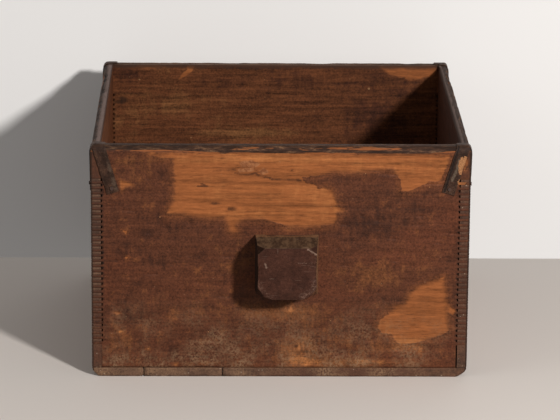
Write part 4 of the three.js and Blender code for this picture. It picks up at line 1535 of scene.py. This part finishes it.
class GRAINMEASURE_OT_planks(bpy.types.Operator):
    """Builds the three bottom planks"""

    bl_idname = "grain_measure.planks"
    bl_label = "Bottom planks"

    def execute(self, context):
        for seed, name in enumerate(("left", "middle", "wide"), start=11):
            build_plank(name, seed, finishes("rubbed_plank", "dirty_end_grain"))
        return {"FINISHED"}


class GRAINMEASURE_OT_blocks(bpy.types.Operator):
    """Builds the two gripping blocks"""

    bl_idname = "grain_measure.blocks"
    bl_label = "Gripping blocks"

    def execute(self, context):
        for seed, name in enumerate(("front", "back"), start=21):
            build_block(name, seed, context.scene.grain_measure_sizes, finishes("handled_block"))
        return {"FINISHED"}


class GRAINMEASURE_OT_straps(bpy.types.Operator):
    """Builds the four folded corner straps"""

    bl_idname = "grain_measure.straps"
    bl_label = "Corner straps"

    def execute(self, context):
        for seed, node in enumerate(sorted(STRAP_PEELS), start=31):
            build_strap(node, seed, context.scene.grain_measure_sizes, finishes("lacquered_hide"))
        return {"FINISHED"}


class GRAINMEASURE_OT_nails(bpy.types.Operator):
    """Builds the nails of the straps, the blocks and the bottom"""

    bl_idname = "grain_measure.nails"
    bl_label = "Nails"

    def execute(self, context):
        proud_by_kind = {"strap": 0.0, "handle": 0.35 * MM, "bottom": 0.0}
        nodes = sorted(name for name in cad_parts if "_nail_" in name)
        for seed, node in enumerate(nodes, start=41):
            proud = proud_by_kind[node.split("_")[0]]
            build_nail(node, seed, proud, finishes("rusted_nail"))
        return {"FINISHED"}


# The photograph's viewpoint, in metres and degrees
CAMERA_PLACE = (-0.0463, -2.786, 0.8712)
CAMERA_PITCH, CAMERA_YAW, CAMERA_ROLL = 15.381, -0.999, 0.421
SENSOR_WIDTH = 36

# The floor and the wall reach this far, and the wall stands this far behind the box, in metres
STAGE_REACH = 5
WALL_HEIGHT = 3
WALL_GAP = 0.043
SKY_SEEN = 0.8

# Each lamp's direction from the middle of the box, its distance and its size
KEY_LAMP = ((0.56, -1, 0.5), 2.6, 0.22)
LEFT_FILL = ((-0.8, -0.4, 0.6), 3.0, 2.0)
BACK_FILL = ((0.3, 1, 0.9), 3.0, 2.0)


def make_one_sided(tree):
    """Lets a camera behind or below the stage see through it."""
    nodes = Nodes(tree)
    back = nodes.add("ShaderNodeNewGeometry")["Backfacing"]
    clear = nodes.add("ShaderNodeBsdfTransparent")[0]
    front = tree.nodes["Principled BSDF"].outputs[0]
    seen = nodes.add("ShaderNodeMixShader", {0: back, 1: front, 2: clear})[0]
    nodes.set(tree.nodes["Material Output"].inputs["Surface"], seen)


def add_plane(name, corners, shade):
    """A pale plane of the stage. It takes shadows but holds no light back from the object."""
    deselect_all()
    bpy.ops.mesh.primitive_plane_add(size=2)
    plane = bpy.context.object
    signs = np.sign(read_points(plane)[:, :2])
    low, high = (np.array(corner) for corner in corners)
    across, up = ((0, 1) if low[2] == high[2] else (0, 2))
    points = np.tile(low.astype(float), (4, 1))
    points[:, across] = np.where(signs[:, 0] > 0, high[across], low[across])
    points[:, up] = np.where(signs[:, 1] > 0, high[up], low[up])
    write_points(plane, points)
    material = bpy.data.materials.new(name)
    material.use_nodes = True
    shader = material.node_tree.nodes["Principled BSDF"].inputs
    shader["Base Color"].default_value = (*shade, 1)
    shader["Roughness"].default_value = 0.9
    make_one_sided(material.node_tree)
    plane.name = name
    plane.data.materials.append(material)
    plane.visible_diffuse = False
    plane.visible_shadow = False


def add_lamp(name, lamp_place, power):
    direction, distance, size = lamp_place
    light = bpy.data.lights.new(name, "AREA")
    light.shape = "DISK"
    light.size = size
    light.energy = power
    lamp = bpy.data.objects.new(name, light)
    bpy.context.scene.collection.objects.link(lamp)
    offset = Vector(direction).normalized() * distance
    lamp.location = Vector((0, 0, RIM_Z / 2)) + offset
    lamp.rotation_mode = "QUATERNION"
    lamp.rotation_quaternion = offset.to_track_quat("Z", "Y")


def add_sky(strength):
    """Even light all round; the camera and mirrors see it at its own brightness."""
    world = bpy.data.worlds.new("even_sky")
    world.use_nodes = True
    nodes = Nodes(world.node_tree)
    paths = nodes.add("ShaderNodeLightPath")
    seen = nodes.calculate("MAXIMUM", paths["Is Camera Ray"], paths["Is Glossy Ray"])
    seen = nodes.calculate("MAXIMUM", seen, paths["Is Transmission Ray"])
    sky = world.node_tree.nodes["Background"].inputs
    sky["Color"].default_value = (1, 1, 1, 1)
    nodes.set(sky["Strength"], nodes.blend_values(seen, strength, SKY_SEEN))
    bpy.context.scene.world = world


def add_camera(lens):
    camera = bpy.data.objects.new("camera", bpy.data.cameras.new("camera"))
    bpy.context.scene.collection.objects.link(camera)
    camera.data.lens = lens
    camera.data.sensor_width = SENSOR_WIDTH
    camera.matrix_world = (
        Matrix.Translation(CAMERA_PLACE)
        @ Matrix.Rotation(math.radians(CAMERA_YAW), 4, "Z")
        @ Matrix.Rotation(math.radians(90 - CAMERA_PITCH), 4, "X")
        @ Matrix.Rotation(math.radians(CAMERA_ROLL), 4, "Z")
    )
    bpy.context.scene.camera = camera


class GRAINMEASURE_OT_stage(bpy.types.Operator):
    """Adds the camera at the photograph's angle, the lamps, the floor and the backdrop"""

    bl_idname = "grain_measure.stage"
    bl_label = "Stage"

    def execute(self, context):
        colours = context.scene.grain_measure_colours
        stage = context.scene.grain_measure_stage
        side, back = STAGE_REACH, HALF_DEPTH + WALL_GAP
        add_plane("pale_floor", ((-side, -side, 0), (side, back, 0)), colours.floor)
        add_plane("pale_wall", ((-side, back, 0), (side, back, WALL_HEIGHT)), colours.wall)
        add_lamp("key", KEY_LAMP, stage.key_power)
        add_lamp("fill", LEFT_FILL, stage.fill_power)
        add_lamp("back_fill", BACK_FILL, stage.fill_power)
        add_sky(stage.sky)
        add_camera(stage.lens)
        context.scene.view_settings.view_transform = "Standard"
        return {"FINISHED"}


OPERATORS = (
    GRAINMEASURE_OT_finishes,
    GRAINMEASURE_OT_boards,
    GRAINMEASURE_OT_planks,
    GRAINMEASURE_OT_blocks,
    GRAINMEASURE_OT_straps,
    GRAINMEASURE_OT_nails,
    GRAINMEASURE_OT_stage,
)


class GRAINMEASURE_PT_panel(bpy.types.Panel):
    """Lists the steps that build the grain measure"""

    bl_label = "Grain Measure"
    bl_idname = "GRAINMEASURE_PT_panel"
    bl_space_type = "VIEW_3D"
    bl_region_type = "UI"
    bl_category = "Grain Measure"

    def draw(self, context):
        for operator in OPERATORS:
            self.layout.operator(operator.bl_idname)


GROUPS = (GrainMeasureSizes, GrainMeasureColours, GrainMeasureStage)
CLASSES = (*GROUPS, *OPERATORS, GRAINMEASURE_PT_panel)


def register():
    for cls in CLASSES:
        bpy.utils.register_class(cls)
    bpy.types.Scene.grain_measure_sizes = bpy.props.PointerProperty(type=GrainMeasureSizes)
    bpy.types.Scene.grain_measure_colours = bpy.props.PointerProperty(type=GrainMeasureColours)
    bpy.types.Scene.grain_measure_stage = bpy.props.PointerProperty(type=GrainMeasureStage)


def unregister():
    del bpy.types.Scene.grain_measure_stage
    del bpy.types.Scene.grain_measure_colours
    del bpy.types.Scene.grain_measure_sizes
    for cls in reversed(CLASSES):
        bpy.utils.unregister_class(cls)


def main():
    register()
    bpy.ops.grain_measure.finishes()
    bpy.ops.grain_measure.boards()
    bpy.ops.grain_measure.planks()
    bpy.ops.grain_measure.blocks()
    bpy.ops.grain_measure.straps()
    bpy.ops.grain_measure.nails()
    bpy.ops.grain_measure.stage()


if __name__ == "__main__":
    main()
